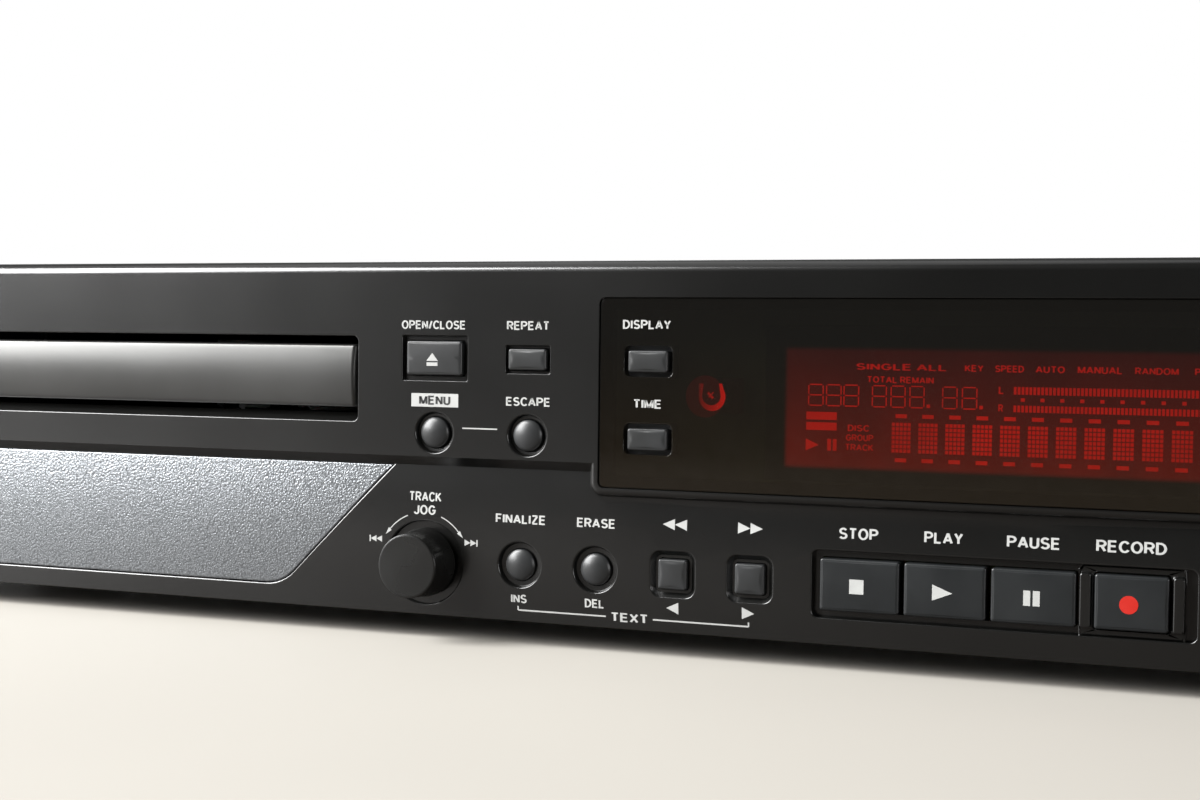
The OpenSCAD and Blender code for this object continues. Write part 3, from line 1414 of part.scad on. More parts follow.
front_panel();
trim_panel();
display_lens();
record_guard();
rack_ear_left();
rack_ear_right();
top_cover();
chassis_pan();
rear_panel();
feet();
cover_screws();
ear_screws();
open_button();
repeat_button();
menu_button();
escape_button();
display_button();
time_button();
finalize_button();
erase_button();
search_back_button();
search_forward_button();
stop_key();
play_key();
pause_key();
record_key();
power_button();
jog_dial();
jog_shaft();
jog_plunger();
jog_encoder();
input_knob();
phones_knob();
level_controls();
phones_jack();
remote_sensor();
display_tube();
panel_board();
panel_switches();
drive_base();
drive_cover();
drive_bracket();
disc_tray();
tray_front();
loading_gear();
loading_motor();
motor_pulley();
loading_belt();
traverse_deck();
spindle_motor();
turntable();
clamp_puck();
guide_rods();
laser_sled();
lead_screw();
sled_motor();
main_board();
power_supply();
rear_sockets();
mains_inlet();
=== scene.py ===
import bmesh
import bpy
import numpy as np
from mathutils import Matrix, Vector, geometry


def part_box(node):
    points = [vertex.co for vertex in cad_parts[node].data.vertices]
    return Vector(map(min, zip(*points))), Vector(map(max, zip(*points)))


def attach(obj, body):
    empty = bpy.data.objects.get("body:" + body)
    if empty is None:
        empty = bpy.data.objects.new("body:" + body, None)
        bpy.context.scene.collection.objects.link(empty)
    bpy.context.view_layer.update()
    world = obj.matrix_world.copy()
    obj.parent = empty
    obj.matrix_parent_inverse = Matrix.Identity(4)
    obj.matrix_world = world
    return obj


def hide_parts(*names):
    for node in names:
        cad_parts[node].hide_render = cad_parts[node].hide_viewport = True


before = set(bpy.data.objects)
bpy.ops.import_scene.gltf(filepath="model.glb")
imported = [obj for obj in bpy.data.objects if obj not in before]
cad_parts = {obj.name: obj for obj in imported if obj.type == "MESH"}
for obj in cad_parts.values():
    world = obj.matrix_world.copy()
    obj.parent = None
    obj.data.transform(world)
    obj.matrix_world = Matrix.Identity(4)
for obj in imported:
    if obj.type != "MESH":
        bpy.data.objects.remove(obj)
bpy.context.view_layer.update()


# Chassis pan, drive bracket and drive cover
# Folded from zinc-plated steel sheet about 1.2 mm thick and screwed together inside the case.
# The plating is pale grey metal with soft clouds and fine rolling lines along the sheet.
def linear(colour):
    """Linear RGBA of an sRGB hex colour: a 2.4 power above the toe, a straight line below it."""
    srgb = np.array([int(colour[i:i + 2], 16) for i in (1, 3, 5)]) / 255
    return (*np.where(srgb <= 0.04045, srgb / 12.92, ((srgb + 0.055) / 1.055) ** 2.4), 1.0)


def add(tree, kind, sockets=None, stops=(), **settings):
    """Adds one shader node: its settings, the positions and sRGB hex colours of its stops, and its sockets as
    values or as the outputs that they take."""
    made = tree.nodes.new("ShaderNode" + kind)
    for name, value in settings.items():
        setattr(made, name, value)
    for i, (position, colour) in enumerate(stops):
        made.color_ramp.elements[i].position = position
        made.color_ramp.elements[i].color = linear(colour)
    for name, value in (sockets or {}).items():
        if isinstance(value, bpy.types.NodeSocket):
            tree.links.new(value, made.inputs[name])
        else:
            made.inputs[name].default_value = value
    return made


def surface(name, **constants):
    """A new material, its node tree, its Principled shader with constants set by socket name, with _ for a
    space, and the place that its textures run over."""
    made = bpy.data.materials.new(name)
    made.use_nodes = True
    tree = made.node_tree
    shader = tree.nodes["Principled BSDF"]
    for socket, value in constants.items():
        shader.inputs[socket.replace("_", " ")].default_value = value
    return made, tree, shader, add(tree, "TexCoord").outputs["Object"]


def skin(name, colours, cloud, rough, grain, height, stretch=(1, 1, 1), **constants):
    """Material whose colour and roughness drift between two values over clouds, with a fine grain as bump.
    Cloud, grain and height are in mm, and stretch draws the grain out along X, Y or Z where it is below 1."""
    made, tree, shader, place = surface(name, **constants)
    drift = add(tree, "TexNoise", {"Vector": place, "Scale": 1000 / cloud, "Detail": 4.0}).outputs[0]
    start, end = 0.3, 0.7
    tone = add(tree, "ValToRGB", {0: drift}, stops=[(start, colours[0]), (end, colours[1])])
    gloss = add(tree, "MapRange", {"Value": drift, "From Min": start, "From Max": end,
                                   "To Min": rough[0], "To Max": rough[1]})
    drawn = add(tree, "Mapping", {"Vector": place, "Scale": stretch})
    specks = add(tree, "TexNoise", {"Vector": drawn.outputs[0], "Scale": 1000 / grain, "Detail": 2.0})
    bump = add(tree, "Bump", {"Height": specks.outputs[0], "Distance": height / 1000})
    tree.links.new(tone.outputs[0], shader.inputs["Base Color"])
    tree.links.new(gloss.outputs[0], shader.inputs["Roughness"])
    tree.links.new(bump.outputs[0], shader.inputs["Normal"])
    return made


def flatten(made):
    """Weights an object's normals by face area, so that flat faces shade flat beside rounded edges."""
    normals = made.modifiers.new("normals", "WEIGHTED_NORMAL")
    normals.keep_sharp = True


def dress(names, material, edge=0):
    """Gives CAD nodes a material and rounds their sharp edges by edge mm: weld, then bevel.
    An edge of 0 leaves them as cut."""
    for name in names:
        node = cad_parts[name]
        node.data.materials.clear()
        node.data.materials.append(material)
        if not edge:
            continue
        weld = node.modifiers.new("weld", "WELD")
        weld.merge_threshold = 1e-6
        bevel = node.modifiers.new("edge", "BEVEL")
        bevel.width = edge / 1000
        bevel.segments = 2
        bevel.angle_limit = np.radians(35)
        bevel.use_clamp_overlap = False
        flatten(node)


zinc = skin("zinc_plated_steel", ("#9fa3a6", "#b9bdc0"), cloud=9, rough=(0.34, 0.46), grain=0.7, height=0.02,
            stretch=(1, 0.05, 1), Metallic=1.0)
dress(["chassis_pan", "drive_bracket", "drive_cover"], zinc)


# Feet
# Four moulded rubber feet, hollow underneath and fixed to the pan.
# Rubber is a dull black that scuffs to grey.
foot_rubber = skin("moulded_rubber", ("#141414", "#1f1f20"), cloud=5, rough=(0.7, 0.85), grain=0.5,
                   height=0.03)
dress(["feet"], foot_rubber, edge=0.5)


# Disc drive
# Tray, base and deck are moulded in black ABS, the gear and pulleys in white acetal, and motors and rods are
# bright metal. The sled is a grey die casting, and the loading belt is rubber.
drive_plastic = skin("moulded_abs_black", ("#242527", "#2c2d30"), cloud=20, rough=(0.42, 0.55), grain=0.35,
                     height=0.012)
acetal = skin("white_acetal", ("#d2d1ca", "#dedcd6"), cloud=6, rough=(0.35, 0.45), grain=0.5, height=0.01,
              Subsurface_Weight=0.1, Subsurface_Scale=0.001)
bright_metal = skin("nickelled_steel", ("#bfc1c3", "#d0d2d4"), cloud=4, rough=(0.18, 0.3), grain=0.3,
                    height=0.004, stretch=(1, 0.1, 1), Metallic=1.0)
die_cast = skin("zinc_die_casting", ("#65686b", "#74777a"), cloud=5, rough=(0.45, 0.6), grain=0.3,
                height=0.02, Metallic=0.9)
belt_rubber = skin("belt_rubber", ("#121212", "#1a1a1a"), cloud=3, rough=(0.6, 0.75), grain=0.3, height=0.01)
dress(["disc_tray"], drive_plastic, edge=0.3)
dress(["drive_base"], drive_plastic)
dress(["traverse_deck", "turntable"], drive_plastic, edge=0.2)
dress(["loading_gear", "motor_pulley", "clamp_puck", "jog_plunger"], acetal, edge=0.1)
dress(["loading_motor", "spindle_motor", "guide_rods", "lead_screw", "sled_motor", "jog_shaft"], bright_metal,
      edge=0.15)
dress(["laser_sled"], die_cast)
dress(["loading_belt"], belt_rubber, edge=0.1)


# Circuit boards
# Glass-fibre boards under green solder mask with tinned tracks, black chips and blue capacitor sleeves.
# What stands above the board's own surface is a component, so height parts the two.
def corners(node):
    """Lowest and highest corner of a node, in mm."""
    return np.array(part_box(node)) * 1000


def board(name, top, parts):
    """Solder mask with tracks up to a height in mm, and a component's colour above it."""
    made, tree, shader, place = surface(name, Specular_IOR_Level=0.6)
    tracks = add(tree, "TexBrick", {"Vector": place, "Color1": linear("#1f5a36"), "Color2": linear("#24633c"),
                                    "Mortar": linear("#8f9b5a"), "Scale": 1.0, "Mortar Size": 0.0004,
                                    "Brick Width": 0.006, "Row Height": 0.003})
    grime = add(tree, "TexNoise", {"Vector": place, "Scale": 1000 / 8, "Detail": 3.0}).outputs[0]
    stuff = add(tree, "ValToRGB", {0: grime}, stops=[(0.4, parts[0]), (0.6, parts[1])])
    height = add(tree, "SeparateXYZ", {0: place}).outputs["Z"]
    above = add(tree, "Math", {0: height, 1: top / 1000}, operation="GREATER_THAN")
    both = add(tree, "Mix", {"Factor": above.outputs[0], 6: tracks.outputs["Color"], 7: stuff.outputs[0]},
               data_type="RGBA")
    gloss = add(tree, "MapRange", {"Value": grime, "To Min": 0.25, "To Max": 0.55})
    tree.links.new(both.outputs[2], shader.inputs["Base Color"])
    tree.links.new(gloss.outputs[0], shader.inputs["Roughness"])
    return made


pan_t, pillar, board_t, all_mask = 1.2, 8.0, 1.65, 1000
board_top = corners("chassis_pan")[0][2] + pan_t + pillar + board_t
dress(["main_board"], board("main_board_mask", board_top, ("#17181a", "#202124")))
dress(["power_supply"], board("supply_board_mask", board_top, ("#1c2230", "#262c3c")))
dress(["panel_board"], board("panel_board_mask", all_mask, ("#17181a", "#202124")), edge=0.1)
dress(["panel_switches"], drive_plastic, edge=0.1)
dress(["jog_encoder", "level_controls"], die_cast, edge=0.15)


# Rear panel
# A flat steel sheet with punched holes, coated black like the cover.
# Powder coat is a satin black with a fine orange peel.
powder_coat = skin("powder_coated_steel", ("#1d1d1e", "#212122"), cloud=35, rough=(0.45, 0.49), grain=0.8,
                   height=0.02)
dress(["rear_panel"], powder_coat)
rear_y = corners("rear_panel")[1][1]


# Rear sockets
# Nickelled phono shells on black bodies, and two square black optical sockets at the inner end.
# Only what stands behind the panel, away from the optical pair, is metal.
optical_end = 130.5


def socket_finish():
    """Nickel on the phono shells behind the rear panel, black moulding on the rest."""
    made, tree, shader, place = surface("nickelled_phono_shell")
    axes = add(tree, "SeparateXYZ", {0: place})
    behind = add(tree, "Math", {0: axes.outputs["Y"], 1: (rear_y + 0.02) / 1000}, operation="GREATER_THAN")
    phono = add(tree, "Math", {0: axes.outputs["X"], 1: optical_end / 1000}, operation="GREATER_THAN")
    metal = add(tree, "Math", {0: behind.outputs[0], 1: phono.outputs[0]}, operation="MULTIPLY").outputs[0]
    wear_and_glow_patches = add(tree, "TexNoise", {"Vector": place, "Scale": 1000 / 2.5, "Detail": 3.0}).outputs[0]
    nickel = add(tree, "ValToRGB", {0: wear_and_glow_patches}, stops=[(0.35, "#b3aa94"), (0.65, "#cfc9b8")])
    both = add(tree, "Mix", {"Factor": metal, 6: linear("#19191a"), 7: nickel.outputs[0]}, data_type="RGBA")
    gloss = add(tree, "MapRange", {"Value": wear_and_glow_patches, "To Min": 0.18, "To Max": 0.4})
    tree.links.new(both.outputs[2], shader.inputs["Base Color"])
    tree.links.new(metal, shader.inputs["Metallic"])
    tree.links.new(gloss.outputs[0], shader.inputs["Roughness"])
    return made


dress(["rear_sockets"], socket_finish(), edge=0.2)


# Socket collars and mains pins
# Each phono socket has a coloured plastic collar round its bore: white for left, red for right, and orange
# for digital. The inlet has three flat brass pins, nickelled, with their tips rounded.
def around(turn):
    """Points on a unit circle at angles in radians."""
    return np.stack([np.cos(turn), np.sin(turn)], 1)


def at_depth(spots, depth):
    """Places across and up as points at a depth, or each at a depth of its own."""
    return np.insert(spots, 1, depth, axis=1)


def lattice(rows, columns, closed=True):
    """Quads of a grid numbered row by row; closed joins the last column to the first."""
    across = np.arange(columns if closed else columns - 1)
    start = np.arange(rows - 1)[:, None] * columns
    a, b = start + across, start + (across + 1) % columns
    return np.stack([a, b, b + columns, a + columns], axis=-1).reshape(-1, 4)


def rounded(middle, size, radius, steps=6):
    """Outline of a rectangle with round corners, as a function of how far it is grown: four quarter arcs
    about the corner centres, anticlockwise from the right. A circle is a square whose radius is half its
    size."""
    angle = (np.arange(4)[:, None] * np.pi / 2 + np.linspace(0, np.pi / 2, steps + 1)).ravel()
    side = np.repeat([[1, 1], [-1, 1], [-1, -1], [1, -1]], steps + 1, axis=0)

    def outline(grow):
        r = max(radius + grow, 0.02)
        return middle + side * (np.array(size) / 2 + grow - r) + r * around(angle)
    return outline


def disc(middle, steps=12):
    """Outline of a circle whose grow is its radius, so that a profile of radius and depth is a turned
    form."""
    return rounded(middle, (0, 0), 0, steps)


def walls(outline, profile):
    """An outline carried along a profile of (grow, depth) pairs: one loop for each pair, joined by quads."""
    loops = np.array([at_depth(outline(grow), depth) for grow, depth in profile])
    return loops.reshape(-1, 3), lattice(len(profile), loops.shape[1])


def put(name, data):
    """A new object in the scene with the given data."""
    made = bpy.data.objects.new(name, data)
    bpy.context.scene.collection.objects.link(made)
    return made


def piece(name, parts, material, body, slot, *replaced, closed=True, sharp=38):
    """One mesh in metres from (points, faces) parts in mm: doubles merged, normals outward, smooth but for
    edges sharper than an angle. It rides on a body and may stand for CAD nodes."""
    starts = np.cumsum([0] + [len(points) for points, _ in parts])
    mesh = bpy.data.meshes.new(name)
    mesh.from_pydata(np.concatenate([points for points, _ in parts]) / 1000, [],
                     [face for (_, faces), start in zip(parts, starts) for face in (faces + start).tolist()])
    shape = bmesh.new()
    shape.from_mesh(mesh)
    if closed:
        bmesh.ops.remove_doubles(shape, verts=shape.verts, dist=1e-7)
        bmesh.ops.recalc_face_normals(shape, faces=shape.faces)
    shape.to_mesh(mesh)
    shape.free()
    made = put(name, mesh)
    mesh.materials.append(material)
    if closed:
        mesh.shade_smooth()
        mesh.set_sharp_from_angle(angle=np.radians(sharp))
        flatten(made)
    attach(made, body)
    if replaced:
        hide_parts(*replaced)
    return made


def middle(node):
    """Middle of a node seen from the front, across and up, in mm."""
    return corners(node).mean(0)[[0, 2]]


phono_pitch, phono_rise = 21.6, 18.0
phono_first = np.array([185.35, 30.2])
collar_bore, collar_r = 1.75, 3.2
collar_top = rear_y + 9.75
collar_back, collar_edge = collar_top - 4.25, collar_top - 0.2
collar_profile = [(collar_bore, collar_back), (collar_bore, collar_edge), (collar_bore + 0.25, collar_top),
                  (collar_r - 0.2, collar_top), (collar_r, collar_edge), (collar_r, collar_back),
                  (collar_bore, collar_back)]
collars = {"white": ("#d8d6cf", [(0, 1), (1, 1)]), "red": ("#a81d1a", [(0, 0), (1, 0)]),
           "orange": ("#c9651c", [(2, 0), (2, 1)])}
for name, (colour, places) in collars.items():
    tint = skin(f"{name}_abs", (colour, colour), cloud=4, rough=(0.3, 0.42), grain=0.4, height=0.01)
    spots = [phono_first + (-phono_pitch * i, phono_rise * j) for i, j in places]
    piece(f"phono_collars_{name}", [walls(disc(spot), collar_profile) for spot in spots], tint, "case",
          "socket_metal")

inlet_black = skin("moulded_nylon_black", ("#151516", "#1d1d1e"), cloud=8, rough=(0.45, 0.58), grain=0.3,
                   height=0.015)
dress(["mains_inlet"], inlet_black, edge=0.3)
pin_size, pin_corner, pin_clear = (2.0, 4.0), 0.3, 0.04
pin_root, pin_tip = rear_y - 17.05, rear_y - 3.75
pin_profile = [(pin_clear, pin_root), (pin_clear, pin_tip - 0.85), (-0.1, pin_tip - 0.3),
               (-0.6, pin_tip - 0.05), (-1.0, pin_tip)]
pin_places = [(-7, -2), (0, 2), (7, -2)]
pins = [walls(rounded(middle("mains_inlet") + place, pin_size, pin_corner), pin_profile)
        for place in pin_places]
piece("inlet_pins", pins, bright_metal, "case", "socket_metal")


# Front panel
# One moulding in charcoal ABS: a raised upper block over a lower panel, joined by a slope that drops in a
# round lip beside the display. Every hole is rounded over at its edge and dished or stepped to seat its
# control.
def roundover(grow, depth, radius, steps=4, flat=0.2):
    """Profile of an edge rounded from a face onto a wall: a narrow flat ring, then a quarter arc.
    A radius below 0 rounds a boss, not a hole."""
    turn = np.linspace(0, np.pi / 2, steps + 1)
    arc = zip(grow + radius * (1 - np.sin(turn)), depth + abs(radius) * (1 - np.cos(turn)))
    return [(grow + radius + np.copysign(flat, radius), depth), *arc]


def sheet(depth, outer, holes=(), inner=None):
    """Flat face at one depth: the constrained Delaunay triangles inside the outer loop and outside the holes.
    Inner points, where given, divide it so that it can be bent."""
    loops = [outer, *holes]
    starts = np.cumsum([0] + [len(loop) for loop in loops])
    rims = [(start + np.arange(len(loop))).tolist() for start, loop in zip(starts, loops)]
    spots = np.concatenate(loops if inner is None else [*loops, inner])
    points, _, faces, *_ = geometry.delaunay_2d_cdt(spots.tolist(), [], rims, 2, 1e-6)
    used, faces = np.unique(faces, return_inverse=True)
    return at_depth(np.array(points)[used], depth), faces.reshape(-1, 3)


def grid(x, z):
    """Every pair of the given places across and up."""
    return np.stack(np.meshgrid(x, z), -1).reshape(-1, 2)


panel_low, panel_high = corners("front_panel")
lens_low, lens_high = corners("display_lens")
trim_low, trim_high = corners("trim_panel")
tray_low, tray_high = corners("tray_front")
step_t, plate_t = 1.6, 5.0
face_y, rim_y = panel_low[1], panel_high[1]
low_y, plate_y = face_y + step_t, face_y + plate_t
button_gap, dish_depth, cap_corner, lip = 0.25, 1.2, 0.6, 1.1

# Left of the display the step is a flat slope, and round the display a lip with a quarter-round section
slope, lip_r = 2.3, 1.6
level = np.array([0, 0.05, 0.2, 0.4, 0.58, 0.74, 0.87, 0.95, 0.985, 1])
rise_y = low_y - (low_y - face_y) * level
slope_up, lip_up = slope * level, lip_r * (1 - np.sqrt(1 - level ** 2))
seam_gap, lip_under, lip_beside, lip_run = 0.15, 2.3, 2.7, 30
seam_z, step_z = trim_high[2] + seam_gap, lens_low[2] - lip_under
step_x = lens_low[0] - lip_beside
panel_edge, top_edge, bottom_edge, panel_corner, rim_t = 0.9, 2.8, 0.3, 1.5, 2.2
outer_lip, crown, apex = 3.2, 0.9, 0.25


def seam(step):
    """Path of one level of the step from the left end to the right: along the slope, round the lip's corner
    as a quarter arc, and along under the display."""
    rising = np.radians(np.linspace(180, 270, 9))
    outer = (step_x + outer_lip, step_z + outer_lip) + (outer_lip - lip_up[step]) * around(rising)
    return np.concatenate([[[panel_low[0] + panel_edge, seam_z + slope_up[step]],
                            [step_x + lip_up[step], seam_z + slope_up[step]]], outer,
                           [[panel_high[0] - panel_edge, step_z + lip_up[step]]]])


side_marks = np.linspace(0, 1, 12)[1:-1, None]


def panel_outline(grow):
    """Outline of the panel, its left and right sides marked at the ends of the slope and at steps below."""
    size = (panel_high - panel_low)[[0, 2]]
    round_ends = rounded(middle("front_panel"), size, panel_corner)(grow)
    half = len(round_ends) // 2
    left = np.stack([np.full(len(level), panel_low[0] - grow), (seam_z + slope_up)[::-1]], 1)
    right = np.stack([np.full(len(level), panel_high[0] + grow), step_z + lip_up], 1)
    down = left[-1] + side_marks * (round_ends[half] - left[-1])
    up = round_ends[-1] + side_marks * (right[0] - round_ends[-1])
    return np.concatenate([round_ends[:half], left, down, round_ends[half:], up, right])


marked = len(level) + len(side_marks)
arcs = (len(panel_outline(0)) - 2 * marked) // 2
front_depth = np.concatenate([np.full(arcs, face_y), rise_y[::-1],
                              np.full(arcs + 2 * len(side_marks), low_y), rise_y])
facing = np.sin((np.arange(2)[:, None] + np.linspace(0, 1, arcs // 2)).ravel() * np.pi / 2)
upward = np.concatenate([facing, np.zeros(marked), -facing, np.zeros(marked)])
fuller = np.where(upward > 0, top_edge - panel_edge, bottom_edge - panel_edge) * np.abs(upward)


def edge_loop(turn):
    """Loop round the panel's rounded edge at an angle from the face: its radius is fuller above and finer
    below."""
    loop = panel_outline(panel_edge * (np.sin(turn) - 1))
    loop[:, 1] += fuller * (np.sin(turn) - 1) * np.sign(upward)
    return at_depth(loop, front_depth + (panel_edge + fuller) * (1 - np.cos(turn)))


edge_loops = [edge_loop(turn) for turn in np.linspace(0, np.pi / 2, 10)]
rim_profile = [(0, rim_y), (-rim_t, rim_y), (-rim_t, plate_y)]
edge_loops += walls(panel_outline, rim_profile)[0].reshape(len(rim_profile), -1, 3).tolist()
inset = edge_loops[0][:, [0, 2]]


def low_face(spots):
    """Depth of the lower panel at places across and up. It is crowned: a parabola falls back from its middle
    line to its lower edge and to the foot of the slope, which drops smoothly from one level to the other
    past the lip."""
    ease = np.clip((spots[:, 0] - step_x) / lip_run, 0, 1)
    top = seam_z - (seam_z - step_z) * ease ** 2 * (3 - 2 * ease)
    share = np.clip((spots[:, 1] - panel_low[2]) / (top - panel_low[2]), 0, 1)
    return low_y - apex + crown * (2 * share - 1) ** 2


def crowned(part):
    """Bends a flat part onto the crowned face: all of it at the face, less towards the back of the plate and
    less towards the upper block."""
    points, faces = part
    share = np.clip(np.where(points[:, 1] < low_y, (points[:, 1] - face_y) / (low_y - face_y),
                             (plate_y - points[:, 1]) / (plate_y - low_y)), 0, 1)
    return points + (share * (low_face(points[:, [0, 2]]) - low_y))[:, None] * (0, 1, 0), faces


def cap_size(node, lips=(1, 1)):
    """Size of a button's cap: the node's own size without the lips of its flange."""
    return (corners(node)[1] - corners(node)[0])[[0, 2]] - 2 * lip * np.array(lips)


def step_hole(node, skin_y, edge, floor_edge, radius, corner):
    """Hole for a square-cut button: rounded over, down a wall to a floor, then through the panel."""
    return rounded(middle(node), cap_size(node) + 2 * edge, corner), roundover(0, skin_y, radius) + [
        (floor_edge - edge, skin_y + dish_depth), (button_gap - edge, skin_y + dish_depth),
        (button_gap - edge, plate_y)]


def cone_hole(node, skin_y, edge):
    """Hole for a round button: rounded over, down a cone, then through the panel."""
    size = cap_size(node)
    return rounded(middle(node), size, size[0] / 2, 12), [
        (edge + 0.35, skin_y), (edge + 0.12, skin_y), (edge, skin_y + 0.05), (edge - 0.1, skin_y + 0.2),
        (edge - 0.5, skin_y + dish_depth), (button_gap, skin_y + dish_depth + 0.1), (button_gap, plate_y)]


slot_side, slot_under, slot_over = 1.3, 3.5, 2.1
slot_low = tray_low[[0, 2]] - (slot_side, slot_under)
slot_high = tray_high[[0, 2]] + (slot_side, slot_over)
slot_mid = (slot_low + slot_high) / 2
lens_corner, lens_gap, lens_ledge = 1.5, 0.2, 2.5
lens_seat = rounded((lens_low + lens_high)[[0, 2]] / 2, (lens_high - lens_low)[[0, 2]], lens_corner)
upper_holes = [
    (rounded(slot_mid, slot_high - slot_low, panel_corner), roundover(0, face_y, 0.2) + [(0, plate_y)]),
    (lens_seat, roundover(lens_gap, face_y, 0.08, 2) + [
        (lens_gap, lens_high[1]), (-lens_ledge, lens_high[1]), (-lens_ledge, plate_y)]),
    step_hole("open_button", face_y, edge=1.4, floor_edge=1.35, radius=0.15, corner=0.5),
    step_hole("repeat_button", face_y, edge=0.9, floor_edge=0.85, radius=0.15, corner=0.5),
    *[cone_hole(name, face_y, edge=1.4) for name in ("menu_button", "escape_button")]]
bush_d, jack_d, jog_recess_d, jog_recess = 7.9, 10.3, 21.0, 1.0
bores = {"input_knob": bush_d, "phones_knob": bush_d, "phones_jack": jack_d}
lower_holes = [
    *[cone_hole(name, low_y, edge=1.85) for name in ("finalize_button", "erase_button")],
    *[step_hole(name, low_y, edge=1.85, floor_edge=0.9, radius=0.35, corner=2.4)
      for name in ("search_back_button", "search_forward_button")],
    (disc(middle("jog_dial"), 20), roundover(jog_recess_d / 2, low_y, 0.3) + [
        (jog_recess_d / 2 - 0.2, low_y + jog_recess), (bush_d / 2, low_y + jog_recess),
        (bush_d / 2, plate_y)]),
    *[(disc(middle(name)), roundover(bore / 2, low_y, 0.2) + [(bore / 2, plate_y)])
      for name, bore in bores.items()]]

# The pocket of the transport keys and the recess of the trim have floors of their own, with openings in them
key_low, key_high = corners("stop_key")[0], corners("pause_key")[1]
key_size = cap_size("stop_key", (0, 1))
key_z = middle("stop_key")[1]
pocket_t, pocket_left, pocket_right, pocket_rise = 2.0, 2.0, 2.5, 1.8
pocket_y = low_y + pocket_t
pocket_x = np.array([key_low[0] - pocket_left, corners("record_guard")[1][0] + pocket_right])
pocket = rounded((pocket_x.mean(), key_z), (np.ptp(pocket_x), key_size[1] + 2 * pocket_rise), panel_corner)
pocket_profile = roundover(0, low_y, 0.3) + [(0, pocket_y)]
key_bay = rounded(((key_low[0] + key_high[0]) / 2, key_z), (key_high[0] - key_low[0], key_size[1]),
                  cap_corner)
record_bay = rounded(middle("record_key"), cap_size("record_key", (0, 1)), cap_corner)
power_bay = rounded(middle("power_button"), cap_size("power_button"), cap_corner)

# The slanted end of the trim lies a little further left than its node's, and its foot a little higher
trim_corner, trim_gap, trim_shift, trim_lift = 12.0, 0.25, 1.7, 0.3
trim_foot = trim_low[2] + trim_lift
trim_right = trim_high[0] - trim_shift - trim_high[2] + trim_foot


def trim_outline(grow):
    """Outline of the trim: straight top and left side, and a lower edge that turns up a 45 degree slope in
    an arc."""
    low, top, r = trim_foot - grow, trim_high[2] + min(grow, 0.1), trim_corner + grow
    foot = trim_right + grow * np.tan(np.pi / 8)
    turn = np.radians(np.linspace(-90, -45, 7))
    arc = (foot - r * np.tan(np.pi / 8), low + r) + r * around(turn)
    left = np.array([[trim_low[0] - grow, top], [trim_low[0] - grow, low]])
    end = np.array([foot + top - low, top])
    return np.concatenate([left[:1], left[0] + side_marks * (left[1] - left[0]), left[1:], arc,
                           arc[-1] + side_marks * (end - arc[-1]), [end]])


def mouths(holes, row):
    """Loops of (outline, profile) holes at one row of their profiles."""
    return [outline(profile[row][0]) for outline, profile in holes]


trim_profile = roundover(trim_gap, low_y, 0.4) + [(trim_gap, trim_high[1])]
floors = [(key_bay, pocket_y), (record_bay, pocket_y), (power_bay, trim_high[1])]
floor_walls = [(bay, [(button_gap, depth), (button_gap, plate_y)]) for bay, depth in floors]
low_cuts = lower_holes + [(pocket, pocket_profile), (trim_outline, trim_profile)]

# Behind the lower edge of the tray's slot a sill slopes up to the back
sill_back, sill_rise, sill_root = plate_y - 0.05, 2.0, 0.3
sill_y = np.array([low_y, sill_back, sill_back, low_y])
sill_z = slot_low[1] + np.array([0.0, sill_rise, -sill_root, -sill_root])
sill_x = np.array([slot_low[0] + panel_corner, slot_high[0] - panel_corner])
sill = np.stack([np.repeat(sill_x, 4), np.tile(sill_y, 2), np.tile(sill_z, 2)], 1)
spot_x, spot_z, spot_edge = 10, 2.5, 6
low_spots = grid(np.arange(panel_low[0] + spot_edge, panel_high[0] - spot_edge, spot_x),
                 np.arange(panel_low[2] + spot_z, seam_z, spot_z))
panel_parts = [
    sheet(face_y, np.concatenate([inset[:arcs], seam(-1)]), mouths(upper_holes, 0)),
    crowned(sheet(low_y, np.concatenate([seam(0)[::-1], inset[arcs + len(level):-len(level)]]),
                  mouths(low_cuts, 0), low_spots)),
    crowned((np.concatenate([at_depth(seam(i), depth) for i, depth in enumerate(rise_y)]),
             lattice(len(level), len(seam(0)), closed=False))),
    crowned((np.concatenate(edge_loops), lattice(len(edge_loops), len(front_depth)))),
    *[walls(*hole) for hole in upper_holes], *[crowned(walls(*hole)) for hole in low_cuts + floor_walls],
    crowned(sheet(pocket_y, pocket(0), [key_bay(button_gap), record_bay(button_gap)])),
    crowned(sheet(trim_high[1], trim_outline(trim_gap), [power_bay(button_gap)])),
    sheet(plate_y, panel_outline(-rim_t), mouths(upper_holes + lower_holes + floor_walls, -1)),
    (sill, np.concatenate([lattice(2, 4), [[0, 1, 2, 3], [4, 5, 6, 7]]])),
]
panel_abs = skin("moulded_abs_charcoal", ("#0b0b0a", "#0f0f0e"), cloud=60, rough=(0.21, 0.25), grain=0.25,
                 height=0.005, Specular_IOR_Level=0.8)
piece("panel_moulding", panel_parts, panel_abs, "case", "panel_plastic", "front_panel")


# Trim panel
# A thin grained plate let into the lower left of the panel, sprayed with metallic grey lacquer.
# The grain is a coarse leather-like pebble about 0.5 mm across, so it glints where it faces the light; a
# painted shade darkens its valleys.
def plate(outline, front, back, edge, holes=(), inner=None):
    """Closed plate: its outline rounded over at the front, its holes rounded in, and a flat sheet on each
    side, which inner points divide."""
    rim, bore = roundover(0, front, -edge) + [(0, back)], roundover(0, front, edge) + [(0, back)]
    return [sheet(front, outline(rim[0][0]), [hole(bore[0][0]) for hole in holes], inner),
            walls(outline, rim), *[walls(hole, bore) for hole in holes],
            sheet(back, outline(0), [hole(0) for hole in holes], inner)]


